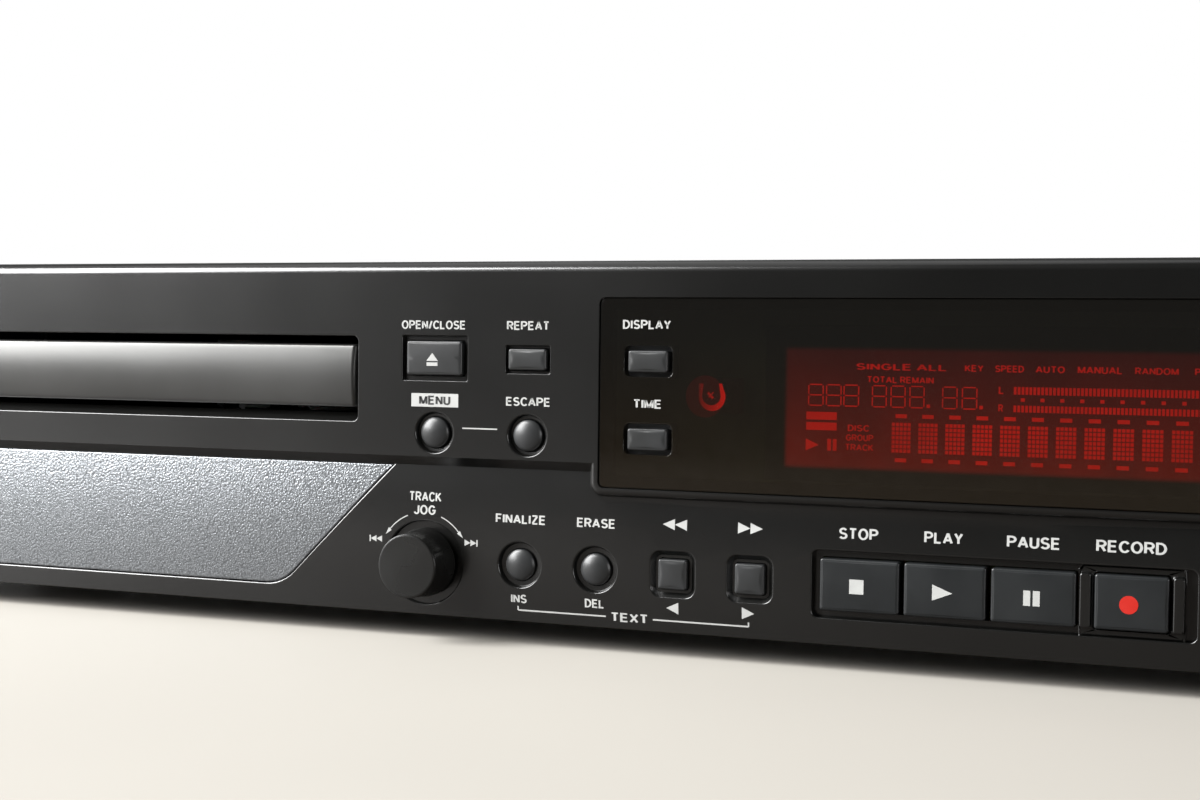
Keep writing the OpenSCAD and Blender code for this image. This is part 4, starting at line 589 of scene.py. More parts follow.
def grained_lacquer():
    """Metallic lacquer over a pebbled grain: rounded cells with narrow valleys, and finer pits on them, with
    a painted shade that darkens the colour into the valleys.
    """
    made, tree, shader, place = surface("grained_metallic_lacquer", Metallic=0.92, Coat_Weight=0.1,
                                        Coat_Roughness=0.3)
    bent = add(tree, "TexNoise", {"Vector": place, "Scale": 1000 / 0.9, "Detail": 2.0})
    pull = add(tree, "VectorMath", {0: bent.outputs["Color"], "Scale": 0.0004}, operation="SCALE")
    moved = add(tree, "VectorMath", {0: place, 1: pull.outputs[0]}, operation="ADD")
    cells = add(tree, "TexVoronoi", {"Vector": moved.outputs[0], "Scale": 1000 / 0.5, "Smoothness": 0.6},
                feature="SMOOTH_F1").outputs["Distance"]
    pits = add(tree, "TexNoise", {"Vector": place, "Scale": 1000 / 0.25, "Detail": 2.0}).outputs[0]
    height = add(tree, "Math", {0: pits, 1: -0.25, 2: cells}, operation="MULTIPLY_ADD")
    bump = add(tree, "Bump", {"Height": height.outputs[0], "Distance": 0.00007}, invert=True)
    # Painted shade: the colour darkens from each cell's middle into the valleys.
    tone = add(tree, "ValToRGB", {0: cells}, stops=[(0.0, "#9c9fa2"), (0.8, "#75787b")])
    gloss = add(tree, "MapRange", {"Value": pits, "To Min": 0.28, "To Max": 0.35})
    tree.links.new(tone.outputs[0], shader.inputs["Base Color"])
    tree.links.new(gloss.outputs[0], shader.inputs["Roughness"])
    tree.links.new(bump.outputs[0], shader.inputs["Normal"])
    return made


net_x, net_z = 8.0, 2.0
trim_spots = grid(np.arange(trim_low[0] + net_x / 2, trim_high[0], net_x),
                  np.arange(trim_low[2] + net_z, trim_high[2] - net_z / 2, net_z))
trim_parts = plate(trim_outline, trim_low[1], trim_high[1], 0.3, [power_bay], trim_spots)
piece("trim_plate", [crowned(part) for part in trim_parts], grained_lacquer(), "case", "trim_plastic",
      "trim_panel")


# Display tube
# A flat fluorescent tube: a glass envelope with a dark rim over a plate of unlit phosphor segments.
# The unlit phosphor gets a painted dull deep red glow behind the lens, its segments a little brighter than
# the plate.
def painted_tube_glow(low, high, fade):
    """Painted red glow on the unlit tube: it fills a window given in mm, fades out at its sides and is
    stronger below.
    """
    made, tree, shader, place = surface("display_glass", Roughness=0.08, Base_Color=linear("#120807"),
                                        Emission_Color=linear("#f01408"))
    axes = add(tree, "SeparateXYZ", {0: place})
    cloud = add(tree, "TexNoise", {"Vector": place, "Scale": 1000 / 14, "Detail": 3.0})
    patchy = add(tree, "MapRange", {"Value": cloud.outputs[0], "To Min": 0.6, "To Max": 1.4})
    below = add(tree, "MapRange", {"Value": axes.outputs["Z"], "From Min": low[1] / 1000,
                                   "From Max": high[1] / 1000, "To Min": 1.2, "To Max": 0.35})
    level = add(tree, "Math", {0: below.outputs[0], 1: patchy.outputs[0]}, operation="MULTIPLY")
    for axis, near, far in (("X", low[0], high[0]), ("Z", low[1], high[1])):
        for edge, inside in ((near, near + fade), (far, far - fade)):
            ramp = add(tree, "MapRange", {"Value": axes.outputs[axis], "From Min": edge / 1000,
                                          "From Max": inside / 1000}, interpolation_type="SMOOTHSTEP")
            level = add(tree, "Math", {0: level.outputs[0], 1: ramp.outputs[0]}, operation="MULTIPLY")
    tree.links.new(level.outputs[0], shader.inputs["Emission Strength"])
    return made


tube_low, tube_high = corners("display_tube")
window_left, window_right, window_under, window_over = 60.3, 4.0, 2.6, 4.6
window_low = np.array([window_left, tube_low[2] + window_under])
window_high = np.array([tube_high[0] - window_right, tube_high[2] - window_over])
# The unlit tube gets the painted glow as emission in its window.
dress(["display_tube"], painted_tube_glow(window_low, window_high, 1.5), edge=0.2)


def stroke(line, weight):
    """Band of one width about a line: every point is set to both sides along the mitre of its two normals."""
    line = np.array(line, float)
    along = np.diff(line, axis=0)
    normal = along[:, ::-1] * (-1, 1) / np.linalg.norm(along, axis=1, keepdims=True)
    ring = np.allclose(line[0], line[-1])
    before = np.concatenate([normal[-1:] if ring else normal[:1], normal])
    after = np.concatenate([normal, normal[:1] if ring else normal[-1:]])
    mitre = (before + after) / (1 + np.sum(before * after, axis=1, keepdims=True))
    sides = np.concatenate([line - mitre * weight / 2, line + mitre * weight / 2])
    return sides, lattice(2, len(line), closed=False)


def bow(x, z, wide, tall, start, end, steps=10):
    """Points on the arc of an ellipse, angles in degrees."""
    turn = np.radians(np.linspace(start, end, steps))
    return [*zip(x + wide * np.cos(turn), z + tall * np.sin(turn))]


def joined(marks):
    """Many (points, faces) marks as one."""
    starts = np.cumsum([0] + [len(points) for points, _ in marks])
    return (np.concatenate([points for points, _ in marks]),
            np.concatenate([faces + start for (_, faces), start in zip(marks, starts)]))


# Plain sans-serif capitals as the lines a pen would draw, one unit tall
bowl = [(0, 0), (0, 1), *bow(0.28, 0.74, 0.27, 0.26, 90, -90), (0, 0.48)]
letters = {
    "A": [[(0, 0), (0.32, 1)], [(0.64, 0), (0.32, 1)], [(0.12, 0.3), (0.52, 0.3)]],
    "C": [bow(0.32, 0.5, 0.32, 0.5, 38, 322, 18)],
    "D": [[(0, 0), (0, 1), *bow(0.2, 0.5, 0.38, 0.5, 90, -90, 14), (0, 0)]],
    "E": [[(0.5, 1), (0, 1), (0, 0), (0.51, 0)], [(0, 0.52), (0.46, 0.52)]],
    "F": [[(0.48, 1), (0, 1), (0, 0)], [(0, 0.5), (0.43, 0.5)]],
    "G": [[*bow(0.32, 0.5, 0.32, 0.5, 38, 345, 18), (0.64, 0.46), (0.36, 0.46)]],
    "H": [[(0, 0), (0, 1)], [(0.56, 0), (0.56, 1)], [(0, 0.52), (0.56, 0.52)]],
    "I": [[(0, 0), (0, 1)]],
    "J": [[(0.42, 1), *bow(0.21, 0.23, 0.21, 0.23, 0, -175)]],
    "K": [[(0, 0), (0, 1)], [(0.52, 1), (0, 0.36)], [(0.2, 0.58), (0.56, 0)]],
    "L": [[(0, 1), (0, 0), (0.46, 0)]],
    "M": [[(0, 0), (0, 1)], [(0.02, 0.98), (0.35, 0.02)], [(0.68, 0.98), (0.35, 0.02)], [(0.7, 0), (0.7, 1)]],
    "N": [[(0, 0), (0, 1)], [(0.02, 0.98), (0.53, 0.02)], [(0.55, 0), (0.55, 1)]],
    "O": [bow(0.33, 0.5, 0.33, 0.5, 0, 360, 25)],
    "P": [bowl],
    "R": [bowl, [(0.3, 0.48), (0.54, 0)]],
    "S": [bow(0.27, 0.75, 0.25, 0.25, 25, 270) + bow(0.27, 0.25, 0.27, 0.25, 90, -155)[1:]],
    "T": [[(0, 1), (0.54, 1)], [(0.27, 1), (0.27, 0)]],
    "U": [[(0, 1), *bow(0.27, 0.27, 0.27, 0.27, 180, 360), (0.54, 1)]],
    "W": [[(0, 1), (0.21, 0)], [(0.42, 1), (0.21, 0)], [(0.42, 1), (0.63, 0)], [(0.84, 1), (0.63, 0)]],
    "X": [[(0, 0), (0.55, 1)], [(0, 1), (0.55, 0)]],
    "Y": [[(0, 1), (0.28, 0.46)], [(0.56, 1), (0.28, 0.46)], [(0.28, 0.5), (0.28, 0)]],
    "Z": [[(0, 1), (0.52, 1)], [(0.5, 0.96), (0.02, 0.04)], [(0, 0), (0.53, 0)]],
    "/": [[(0, -0.02), (0.28, 1.02)]], " ": [[(0, 0.5), (0.001, 0.5)]],
}


def word(text, spot, width, height, weight=0.2, gap=0.08):
    """A word in capitals: each letter's lines as bands, side by side, stretched to a size about a middle."""
    marks, start = [], 0.0
    for letter in text:
        marks += [stroke(np.array(line) + (start, 0), weight) for line in letters[letter]]
        start += max(np.max(line, axis=0)[0] for line in letters[letter]) + weight + gap
    points, faces = joined(marks)
    low, high = points.min(0), points.max(0)
    return spot + (points - (low + high) / 2) * (width, height) / (high - low), faces


def bars(spots, size):
    """Upright rectangles of one size about many middles."""
    spots = np.asarray(spots, float).reshape(-1, 1, 2)
    square = np.array([[-1, -1], [1, -1], [1, 1], [-1, 1]]) / 2 * size
    return (spots + square).reshape(-1, 2), np.arange(4 * len(spots)).reshape(-1, 4)


def arrow(spot, width, height):
    """Solid triangle that points to the right, or to the left where its width is below 0."""
    corner = np.array([[-0.5, -0.5], [0.5, 0], [-0.5, 0.5]]) * (width, height)
    return spot + corner, np.array([[0, 1, 2] if width > 0 else [2, 1, 0]])


def printed(name, marks, depth, material, body, slot, film=0.03):
    """Flat marks, each (points, faces) across and up, laid on a face at a depth as a film that stands
    forward. The depth is one number, or a function of the places on a bent face."""
    made = piece(name, [(at_depth(points, depth(points) if callable(depth) else depth), faces)
                        for points, faces in marks], material, body, slot, closed=False)
    thick = made.modifiers.new("film", "SOLIDIFY")
    thick.thickness, thick.offset = film / 1000, 1


def digit(left, low, width, height, weight=0.28):
    """The seven thin bars of a figure eight."""
    x, z = left + width / 2, low + height / 2
    return [bars([(x, low), (x, z), (x, low + height)], (width - 0.5, weight)),
            bars(grid([left, left + width], [low + height / 4, low + 3 * height / 4]),
                 (weight, height / 2 - 0.4))]


# Heights are from the panel's lower edge: a row of dotted cells between two rows of bars, two level meters
# with their scale, eight figures with their points, signs, and small words
base_z = panel_low[2]
cell_pitch, dot_pitch, meter_pitch = 6.07, 0.9, 0.85
cell_x = np.arange(85.8, window_high[0] - 5, cell_pitch)
meter_x = np.arange(113.3, window_high[0] - 1, meter_pitch)
figures = {3.4: (66.4, 70.6, 74.7), 3.2: (81.3, 85.6, 89.9, 97.3, 101.7)}
legends = {
    63.7: [("SINGLE ALL", 87.7, 20.4), ("KEY", 104.2, 4.1), ("SPEED", 112.0, 6.3), ("AUTO", 120.8, 6.3),
           ("MANUAL", 131.3, 9.3), ("RANDOM", 143.2, 9), ("PROGRAM", 156.0, 10), ("SYNC", 169.0, 7),
           ("MONO", 181.0, 7)],
    60.8: [("TOTAL REMAIN", 87.7, 15.1)], 49.6: [("DISC", 78.2, 5.0)], 47.4: [("GROUP", 78.5, 6.4)],
    45.2: [("TRACK", 78.5, 6.4)]}
segments = [
    *[bars(grid(x + dot_pitch * (0.5 + np.arange(5)), 44.7 + np.arange(7)), (0.72, 0.8)) for x in cell_x],
    bars(grid(cell_x + 2.2, [42.6, 52.6]), (2.6, 0.9)),
    bars(grid(meter_x, [58.9]), (0.6, 1.7)), bars(grid(meter_x, [54.9]), (0.6, 1.5)),
    bars(grid(meter_x[2::5], [56.9]), (0.9, 0.8)),
    *[part for width, lefts in figures.items() for left in lefts for part in digit(left, 54.6, width, 4.8)],
    bars([(94.1, 55), (105.9, 55)], (0.8, 0.8)),
    arrow((67.4, 45.5), 3.1, 2.8), bars([(71.4, 45.6), (72.7, 45.6)], (0.9, 2.7)),
    bars(grid([69.5], [52.2, 49.8]), (7.2, 1.8)),
    *[word(text, (x, up), width, 1.5) for up, row in legends.items() for text, x, width in row],
    *[word(text, (110.2, up), 1.0, 1.6) for text, up in (("L", 58.9), ("R", 55.0))],
]


def painted_segment_glow():
    """Painted glow for unlit phosphor seen by reflected light through the red lens: even emission with slight
    patches.
    """
    made, tree, shader, place = surface("painted_glow_segments", Base_Color=linear("#2a0806"), Roughness=0.6,
                                        Emission_Color=linear("#ff1204"))
    wear_and_glow_patches = add(tree, "TexNoise", {"Vector": place, "Scale": 1000 / 20, "Detail": 2.0})
    glow = add(tree, "MapRange", {"Value": wear_and_glow_patches.outputs[0], "From Min": 0.3, "From Max": 0.7,
                                  "To Min": 3.4, "To Max": 5.0})
    tree.links.new(glow.outputs[0], shader.inputs["Emission Strength"])
    return made


glow_gap = 0.02
# The segments carry a painted glow, emission a little stronger than the tube's.
printed("display_segments", [(points + (0, base_z), faces) for points, faces in segments],
        tube_low[1] - glow_gap, painted_segment_glow(), "case", "display_glass")


# Remote sensor
# A small infrared receiver behind the lens: a dark resin dome in a square holder. Light caught in the resin
# is
# painted on as emission: a red ring of painted glints, open above and brighter to the right, round a dark
# eye.
sensor = middle("remote_sensor") - (1.9, 0.1)
glow_half = 3.5


def painted_glow_resin(name, dim, bright):
    """Dark red resin with a painted glow: emission from dim at its left to bright at its right."""
    made, tree, shader, place = surface(name, Base_Color=linear("#1a0605"), Roughness=0.2,
                                        Emission_Color=linear("#ff0c02"))
    across = add(tree, "SeparateXYZ", {0: place}).outputs["X"]
    glow = add(tree, "MapRange", {"Value": across, "From Min": (sensor[0] - glow_half) / 1000,
                                  "From Max": (sensor[0] + glow_half) / 1000,
                                  "To Min": dim, "To Max": bright})
    tree.links.new(glow.outputs[0], shader.inputs["Emission Strength"])
    return made


# The dome itself gets only a faint painted glow.
dress(["remote_sensor"], painted_glow_resin("infrared_resin_painted_glow", 0.02, 0.02), edge=0.2)
# Painted glints: a ring and an x of red emission, and behind them a faint painted halo, as films before the
# dome.
ring = sensor + np.concatenate([
    [(-3.45, 3.1)], bow(-0.25, 0, 3.3, 3.4, 180, 390, 20), [(2.2, 3.1)],
    [(-2.4, 3.0)], bow(-0.43, 0.1, 2.3, 2.15, 180, 375, 20), [(1.45, 3.1)]])
halo = sensor + bow(-2.0, 0, 4.8, 5.0, 0, 360, 33)[:-1]
glints = [(ring, lattice(2, len(ring) // 2, closed=False)), stroke(sensor + [(-1.3, 0.95), (0, -0.4)], 0.6),
          stroke(sensor + [(-1.1, -0.2), (0.1, 1.05)], 0.25)]
glow_y = corners("remote_sensor")[0][1] - glow_gap
printed("sensor_painted_glints", glints, glow_y, painted_glow_resin("infrared_painted_glints", 0.9, 5.5), "case", "sensor_resin")
printed("sensor_painted_halo", [(halo, np.arange(len(halo))[None])], glow_y + 0.05,
        painted_glow_resin("infrared_painted_halo", 0.2, 0.28), "case", "sensor_resin")


# Display lens
# A slab of smoked acrylic with polished faces, let in almost flush, with two windows for the buttons in it.
# It passes little light, so only the display and the sensor show through, and it mirrors the room.
def smoked_acrylic():
    """Polished brown-black acrylic, mostly opaque, with fine dust that dulls its gloss, and a painted
    reflection: its colour is warmer and a little lighter towards the bottom.
    """
    made, tree, shader, place = surface("smoked_acrylic", IOR=1.49, Alpha=0.75)
    dust = add(tree, "TexNoise", {"Vector": place, "Scale": 1000 / 3, "Detail": 6.0})
    gloss = add(tree, "MapRange", {"Value": dust.outputs[0], "From Min": 0.4, "From Max": 0.75,
                                   "To Min": 0.05, "To Max": 0.16})
    height = add(tree, "SeparateXYZ", {0: place}).outputs["Z"]
    painted_reflection_rise = add(tree, "MapRange", {"Value": height, "From Min": lens_low[2] / 1000,
                                  "From Max": lens_high[2] / 1000})
    # Painted reflection: the colour grades from a warmer, lighter brown at the bottom to brown-black above.
    tone = add(tree, "ValToRGB", {0: painted_reflection_rise.outputs[0]}, stops=[(0.0, "#1c1710"), (0.8, "#151412")])
    tree.links.new(tone.outputs[0], shader.inputs["Base Color"])
    tree.links.new(gloss.outputs[0], shader.inputs["Roughness"])
    return made


lens_edge = 0.8
windows = [rounded(middle(n), cap_size(n) + 2 * lens_edge, cap_corner + lens_edge)
           for n in ("display_button", "time_button")]
piece("lens_slab", plate(lens_seat, lens_low[1], lens_high[1], 0.2, windows), smoked_acrylic(), "case",
      "lens_acrylic", "display_lens")


# Tray front
# A crowned bar moulded in ABS and sprayed dark metallic grey, clipped to the front of the disc tray.
# The lacquer is satin, so the crown grades from bright at its top to dark below.
def crowned_bar(low, high, crown, edge, end):
    """Bar carried along X: an arc of the given crown from edge to edge, rounded over above, below and at
    the ends."""
    size, half = high - low, (high[2] - low[2]) / 2
    radius = (half ** 2 + crown ** 2) / (2 * crown)
    bent = edge * (1 - np.sin(np.linspace(0, np.pi / 2, 5)))
    z = np.concatenate([half - bent[::-1], np.linspace(half - edge, edge - half, 21)[1:-1], bent - half])
    over = np.maximum(np.abs(z) - half + edge, 0)
    y = low[1] + radius - np.sqrt(radius ** 2 - z ** 2) + edge - np.sqrt(edge ** 2 - over ** 2)
    z = np.concatenate([z, [-half, half]]) + (low[2] + high[2]) / 2
    y = np.concatenate([y, [high[1], high[1]]])
    ease = end * (1 - np.cos(np.linspace(0, np.pi / 2, 7)))
    x = np.concatenate([low[0] + ease, low[0] + end + np.linspace(0, 1, 12)[1:-1] * (size[0] - 2 * end),
                        high[0] - ease[::-1]])
    past = np.maximum(end - np.minimum(x - low[0], high[0] - x), 0)
    back = end - np.sqrt(end ** 2 - past ** 2)
    points = np.stack(np.broadcast_arrays(x[:, None], np.minimum(y + back[:, None], high[1]), z), -1)
    count = len(z)
    caps = np.array([np.arange(count), np.arange(count) + (len(x) - 1) * count])
    return [(points.reshape(-1, 3), lattice(len(x), count)), (points.reshape(-1, 3), caps)]


tray_lacquer = skin("metallic_lacquer_grey", ("#4e4e4d", "#545453"), cloud=25, rough=(0.32, 0.36), grain=0.2,
                    height=0.002, Metallic=0.8)
piece("tray_bar", crowned_bar(tray_low, tray_high, crown=0.9, edge=0.8, end=1.3), tray_lacquer, "tray",
      "tray_face", "tray_front")


# Push buttons
# Moulded caps in dark grey ABS on flanged stems: square-cut ones with rounded edges, and round ones with
# domes. The moulding is paler than the panel, and its edges catch the light.
button_abs = skin("moulded_abs_grey", ("#282929", "#2e2f30"), cloud=8, rough=(0.30, 0.38), grain=0.2,
                  height=0.004)
flange_t, flange_gap, stem_r, stem_edge = 1.2, 0.1, 1.5, 0.2


def stem(node, start):
    """Round stem behind a flange, to the back of the node."""
    end = corners(node)[1][1]
    return walls(disc(middle(node), 4), [
        (0, start), (stem_r, start), (stem_r, end - stem_edge), (stem_r - stem_edge, end), (0, end)])


def cap(node, size, back, edge, bulge):
    """Square-cut cap, its edges rounded over and its face slightly domed: a parabola each way, none at the
    back."""
    front = corners(node)[0][1]
    share = np.linspace(-0.5, 0.5, 11)
    inner = middle(node) + grid(share, share) * (size - 2 * edge - 0.6)
    parts = plate(rounded(middle(node), size, cap_corner), front, back, edge, inner=inner)
    return [(points + np.outer(
        bulge / 2 * np.sum(((points[:, [0, 2]] - middle(node)) / size * 2) ** 2, axis=1)
        * (back - points[:, 1]) / (back - front), (0, 1, 0)), faces) for points, faces in parts]


def square_button(node, edge, seat=plate_y, inset=0):
    """Square-cut cap with its flange behind the panel, and its stem."""
    flange = seat + flange_gap
    parts = cap(node, cap_size(node) - 2 * inset, flange, edge, bulge=0.25)
    brim = rounded(middle(node), cap_size(node) + 2 * lip, cap_corner)
    parts += plate(brim, flange, flange + flange_t, 0.1) + [stem(node, flange + flange_t)]
    piece(node.replace("_button", "_cap"), parts, button_abs, node, "button_plastic", node)


def round_button(node, dome=1.0, edge=0.35):
    """Domed cap turned about its axis, with its flange behind the panel, and its stem."""
    r = cap_size(node)[0] / 2
    arc = (r ** 2 + dome ** 2) / (2 * dome)
    across = np.linspace(0, r - edge, 9)
    crown = corners(node)[0][1] + arc - np.sqrt(arc ** 2 - across ** 2)
    flange = plate_y + flange_gap
    turn = np.linspace(0.35, np.pi / 2, 4)
    side = [(r - edge + edge * np.sin(t), crown[-1] + 0.12 + edge * (1 - np.cos(t))) for t in turn]
    profile = [*zip(across, crown), *side, (r, flange), (r + lip, flange), (r + lip, flange + flange_t),
               (0, flange + flange_t)]
    parts = [walls(disc(middle(node), 12), profile), stem(node, flange + flange_t)]
    piece(node.replace("_button", "_cap"), parts, button_abs, node, "button_plastic", node)


for name in ("open_button", "search_back_button", "search_forward_button", "power_button"):
    square_button(name, edge=0.45)
square_button("repeat_button", edge=0.35)
for name in ("display_button", "time_button"):
    square_button(name, edge=0.35, seat=lens_high[1], inset=0.3)
for name in ("menu_button", "escape_button", "finalize_button", "erase_button"):
    round_button(name)


# Transport keys and record guard
# Four wide moulded keys side by side in one pocket. The record key stands between two ribs of a guard that
# keep fingers off it.
key_abs = skin("moulded_abs_key", ("#1b1d1e", "#202223"), cloud=12, rough=(0.30, 0.38), grain=0.2,
               height=0.004)
key_back = plate_y + 1.3
for name in ("stop_key", "play_key", "pause_key", "record_key"):
    parts = cap(name, cap_size(name, (0, 1)), key_back, edge=0.45, bulge=0.3) + [stem(name, key_back)]
    piece(name.replace("_key", "_cap"), parts, key_abs, name, "button_plastic", name)
dress(["record_guard"], panel_abs, edge=0.3)


# Jog dial
# A turned and lacquered dial pushed onto its shaft: a flat face inside a thin bevel that catches the light,
# and a side that widens to the back. It turns without end and pushes in as a key.
dial_lacquer = skin("dial_lacquer", ("#141413", "#191918"), cloud=15, rough=(0.25, 0.31), grain=0.3,
                    height=0.004)


def turned(node, body, profile, steps):
    """A profile of radius and depth, measured back from the node's front, turned about the node's axis."""
    front = corners(node)[0][1]
    piece(f"{node}_cap", [walls(disc(middle(node), steps), [(r, front + y) for r, y in profile])],
          dial_lacquer, body, "dial_plastic", node)


dial_low, dial_high = corners("jog_dial")
dial_r, dial_t = (dial_high[0] - dial_low[0]) / 2, dial_high[1] - dial_low[1]
face_r, bore_r, bore_y = dial_r - 0.7, 3.05, 2.0
turned("jog_dial", "jog", [
    (0, 0.0), (face_r - 0.5, 0.04), (face_r - 0.4, 0.05), (face_r - 0.12, 0.12), (face_r, 0.3),
    (face_r + 0.05, 0.6), (dial_r - 0.12, dial_t - 1.1), (dial_r, dial_t - 0.9), (dial_r, dial_t - 0.25),
    (dial_r - 0.25, dial_t), (bore_r, dial_t), (bore_r, bore_y), (0, bore_y)], 32)


# Level knobs
# Two small moulded knobs for the input and headphone levels, tapered to the front, with a white pointer line.
knob_low, knob_high = corners("input_knob")
knob_r, knob_t, hub_r = (knob_high[0] - knob_low[0]) / 2, 8.2, 3.0
hub_end = knob_high[1] - knob_low[1]
knob_bodies = {"input_knob": "input_level", "phones_knob": "phones_level"}
for name, body in knob_bodies.items():
    turned(name, body, [
        (0, 0.0), (knob_r - 1.1, 0.0), (knob_r - 0.6, 0.1), (knob_r - 0.35, 0.35), (knob_r - 0.25, 0.8),
        (knob_r, knob_t), (hub_r, knob_t), (hub_r, hub_end), (0, hub_end)], 24)


# Headphone jack
# A quarter-inch jack whose bush comes through the panel under a turned nut.
dress(["phones_jack"], inlet_black, edge=0.3)


# Printing
# Words and signs are screen-printed in off-white ink, a film about 0.03 mm thick, on the panel, lens and
# keys. Only plain names of functions and common signs are printed.
ink = skin("screen_ink_white", ("#a9a9a7", "#b4b5b2"), cloud=4, rough=(0.5, 0.6), grain=0.3, height=0.003)
dark_ink = skin("screen_ink_black", ("#1a1a1a", "#222222"), cloud=4, rough=(0.5, 0.6), grain=0.3,
                height=0.003)
red_ink = skin("screen_ink_red", ("#b21e13", "#ba2318"), cloud=4, rough=(0.4, 0.5), grain=0.3, height=0.003)
film_gap, over_film = 0.005, 0.04


def beside(node, across, up):
    """A place given from the middle of a node."""
    return middle(node) + (across, up)


def words(rows):
    """Words, each placed across and up from the middle of a node, with its width and height."""
    return [word(text, beside(node, x, z), width, height) for text, node, x, z, width, height in rows]


def double_arrow(spot, width, height, stop=0.0):
    """Two arrows nose to tail, with an end bar where stop gives its thickness."""
    half = width / 2
    marks = [arrow(spot + np.array([shift, 0]), half, height) for shift in (-half / 2, half / 2)]
    if stop:
        marks.append(bars([spot + np.array([half + np.sign(width) * stop / 2, 0])], (stop, height)))
    return marks


def swept_arrow(node, radius, start, end):
    """Thin arc about a node's axis, angles in degrees, with an arrow head at its end."""
    arc = np.array(bow(*middle(node), radius, radius, start, end, 14))
    along = (arc[-1] - arc[-2]) / np.linalg.norm(arc[-1] - arc[-2])
    side = np.array([-along[1], along[0]])
    head = arc[-1] + np.array([1.9 * along, 0.52 * side, -0.52 * side])
    return [stroke(arc, 0.24), (head, np.array([[0, 1, 2]]))]


upper_words = [("OPEN/CLOSE", "open_button", -0.5, 8.2, 17.4, 2.15),
               ("REPEAT", "repeat_button", -0.1, 8.2, 11.0, 2.15),
               ("ESCAPE", "escape_button", 0.1, 8.2, 11.5, 2.15)]
menu_spot = beside("menu_button", 0.1, 8.0)
menu_box = bars([menu_spot], (12.9, 3.3))
dash = bars([(middle("menu_button") + middle("escape_button")) / 2 + (-0.1, 1.3)], (9.4, 0.32))
printed("upper_print", words(upper_words) + [menu_box, dash], face_y - film_gap, ink, "case", "panel_plastic")
printed("menu_print", [word("MENU", menu_spot, 8.6, 2.25, 0.22)], face_y - over_film, dark_ink, "case",
        "panel_plastic")
lens_words = [("DISPLAY", "display_button", -0.5, 8.7, 12.0, 2.15),
              ("TIME", "time_button", -0.1, 8.4, 6.7, 2.1)]
printed("lens_print", words(lens_words), lens_low[1] - film_gap, ink, "case", "lens_acrylic")

lower_words = [
    ("TRACK", "jog_dial", 0.2, 16.4, 8.7, 2.4), ("JOG", "jog_dial", 0.1, 13.1, 6.1, 2.4),
    ("FINALIZE", "finalize_button", 0.1, 11.2, 13.1, 2.25), ("ERASE", "erase_button", 0.1, 11.2, 9.7, 2.25),
    ("INS", "finalize_button", -0.2, -8.3, 4.2, 2.1), ("DEL", "erase_button", -0.2, -8.2, 4.8, 2.1),
    ("STOP", "stop_key", -0.4, 11.8, 9, 2.6), ("PLAY", "play_key", -0.5, 11.9, 8.6, 2.6),
    ("PAUSE", "pause_key", -0.3, 11.9, 11.2, 2.6), ("RECORD", "record_key", -0.3, 12.0, 14.6, 2.6),
    ("INPUT", "input_knob", 0, 11.3, 8.5, 2.3), ("PHONES", "phones_knob", 10, 11.3, 12, 2.3)]
bracket_z, bracket_rise, bracket_t = base_z + 2.9, 1.0, 0.36
bracket_x = np.array([middle("finalize_button")[0] - 0.4, middle("search_forward_button")[0] - 0.2])
word_x = np.array([18.4, 30.4])
brackets = [bars([((bracket_x[i] + word_x[i]) / 2, bracket_z)], (abs(word_x[i] - bracket_x[i]), bracket_t))
            for i in (0, 1)]
brackets += [bars([(x, bracket_z + bracket_rise / 2)], (bracket_t, bracket_rise)) for x in bracket_x]
lower_marks = words(lower_words) + brackets + [word("TEXT", (word_x.mean(), bracket_z), 9.0, 2.2)]
lower_marks += double_arrow(beside("search_back_button", 0.4, 11.8), -6.0, 2.6)
lower_marks += double_arrow(beside("search_forward_button", 0, 11.8), 6.0, 2.6)
lower_marks += [arrow(beside("search_back_button", 0, -8), -3.0, 2.8),
                arrow(beside("search_forward_button", -0.3, -8), 3.0, 2.8)]
lower_marks += double_arrow(beside("jog_dial", -13.4, 5.3), -3.2, 1.6, 0.35)
lower_marks += double_arrow(beside("jog_dial", 12.8, 5.5), 3.2, 1.6, 0.35)
lower_marks += swept_arrow("jog_dial", 12.4, 112, 140) + swept_arrow("jog_dial", 12.4, 68, 40)
printed("lower_print", lower_marks, lambda spots: low_face(spots) - film_gap, ink, "case", "panel_plastic")
printed("power_print", [word("POWER", beside("power_button", 0, 8.6), 10.5, 2.3)],
        lambda spots: low_face(spots) + trim_low[1] - low_y - film_gap, ink, "case", "trim_plastic")


def on_key(node, name, marks, material=ink):
    """Marks about a key's own middle, printed on its face and moving with it."""
    printed(name, [(points + middle(node), faces) for points, faces in marks], corners(node)[0][1] - film_gap,
            material, node, "button_plastic")


dot = rounded((-0.5, -0.3), (3.95, 3.95), 1.97, 10)(0)
eject = np.array([[-1.95, -0.7], [1.25, -0.7], [-0.35, 1.25]])
on_key("open_button", "open_sign", [(eject, np.array([[0, 1, 2]])), bars([(-0.35, -1.5)], (3.0, 0.85))])
on_key("stop_key", "stop_sign", [bars([(-0.5, -0.1)], (3.3, 3.3))])
on_key("play_key", "play_sign", [arrow(np.array([-0.4, -0.25]), 4.5, 3.6)])
on_key("pause_key", "pause_sign", [bars([(-1.25, -0.2), (0.8, -0.2)], (1.5, 3.35))])
on_key("record_key", "record_sign", [(dot, np.arange(len(dot))[None])], red_ink)
for name, body in knob_bodies.items():
    printed(name + "_pointer", [bars([beside(name, 0, 3.3)], (0.7, 3.4))], corners(name)[0][1] - film_gap,
            ink, body, "dial_plastic")


def rear_word(text, spot, width, height):
    """A word turned to be read from behind."""
    points, faces = word(text, (0, 0), width, height)
    return spot + points * (-1, 1), faces


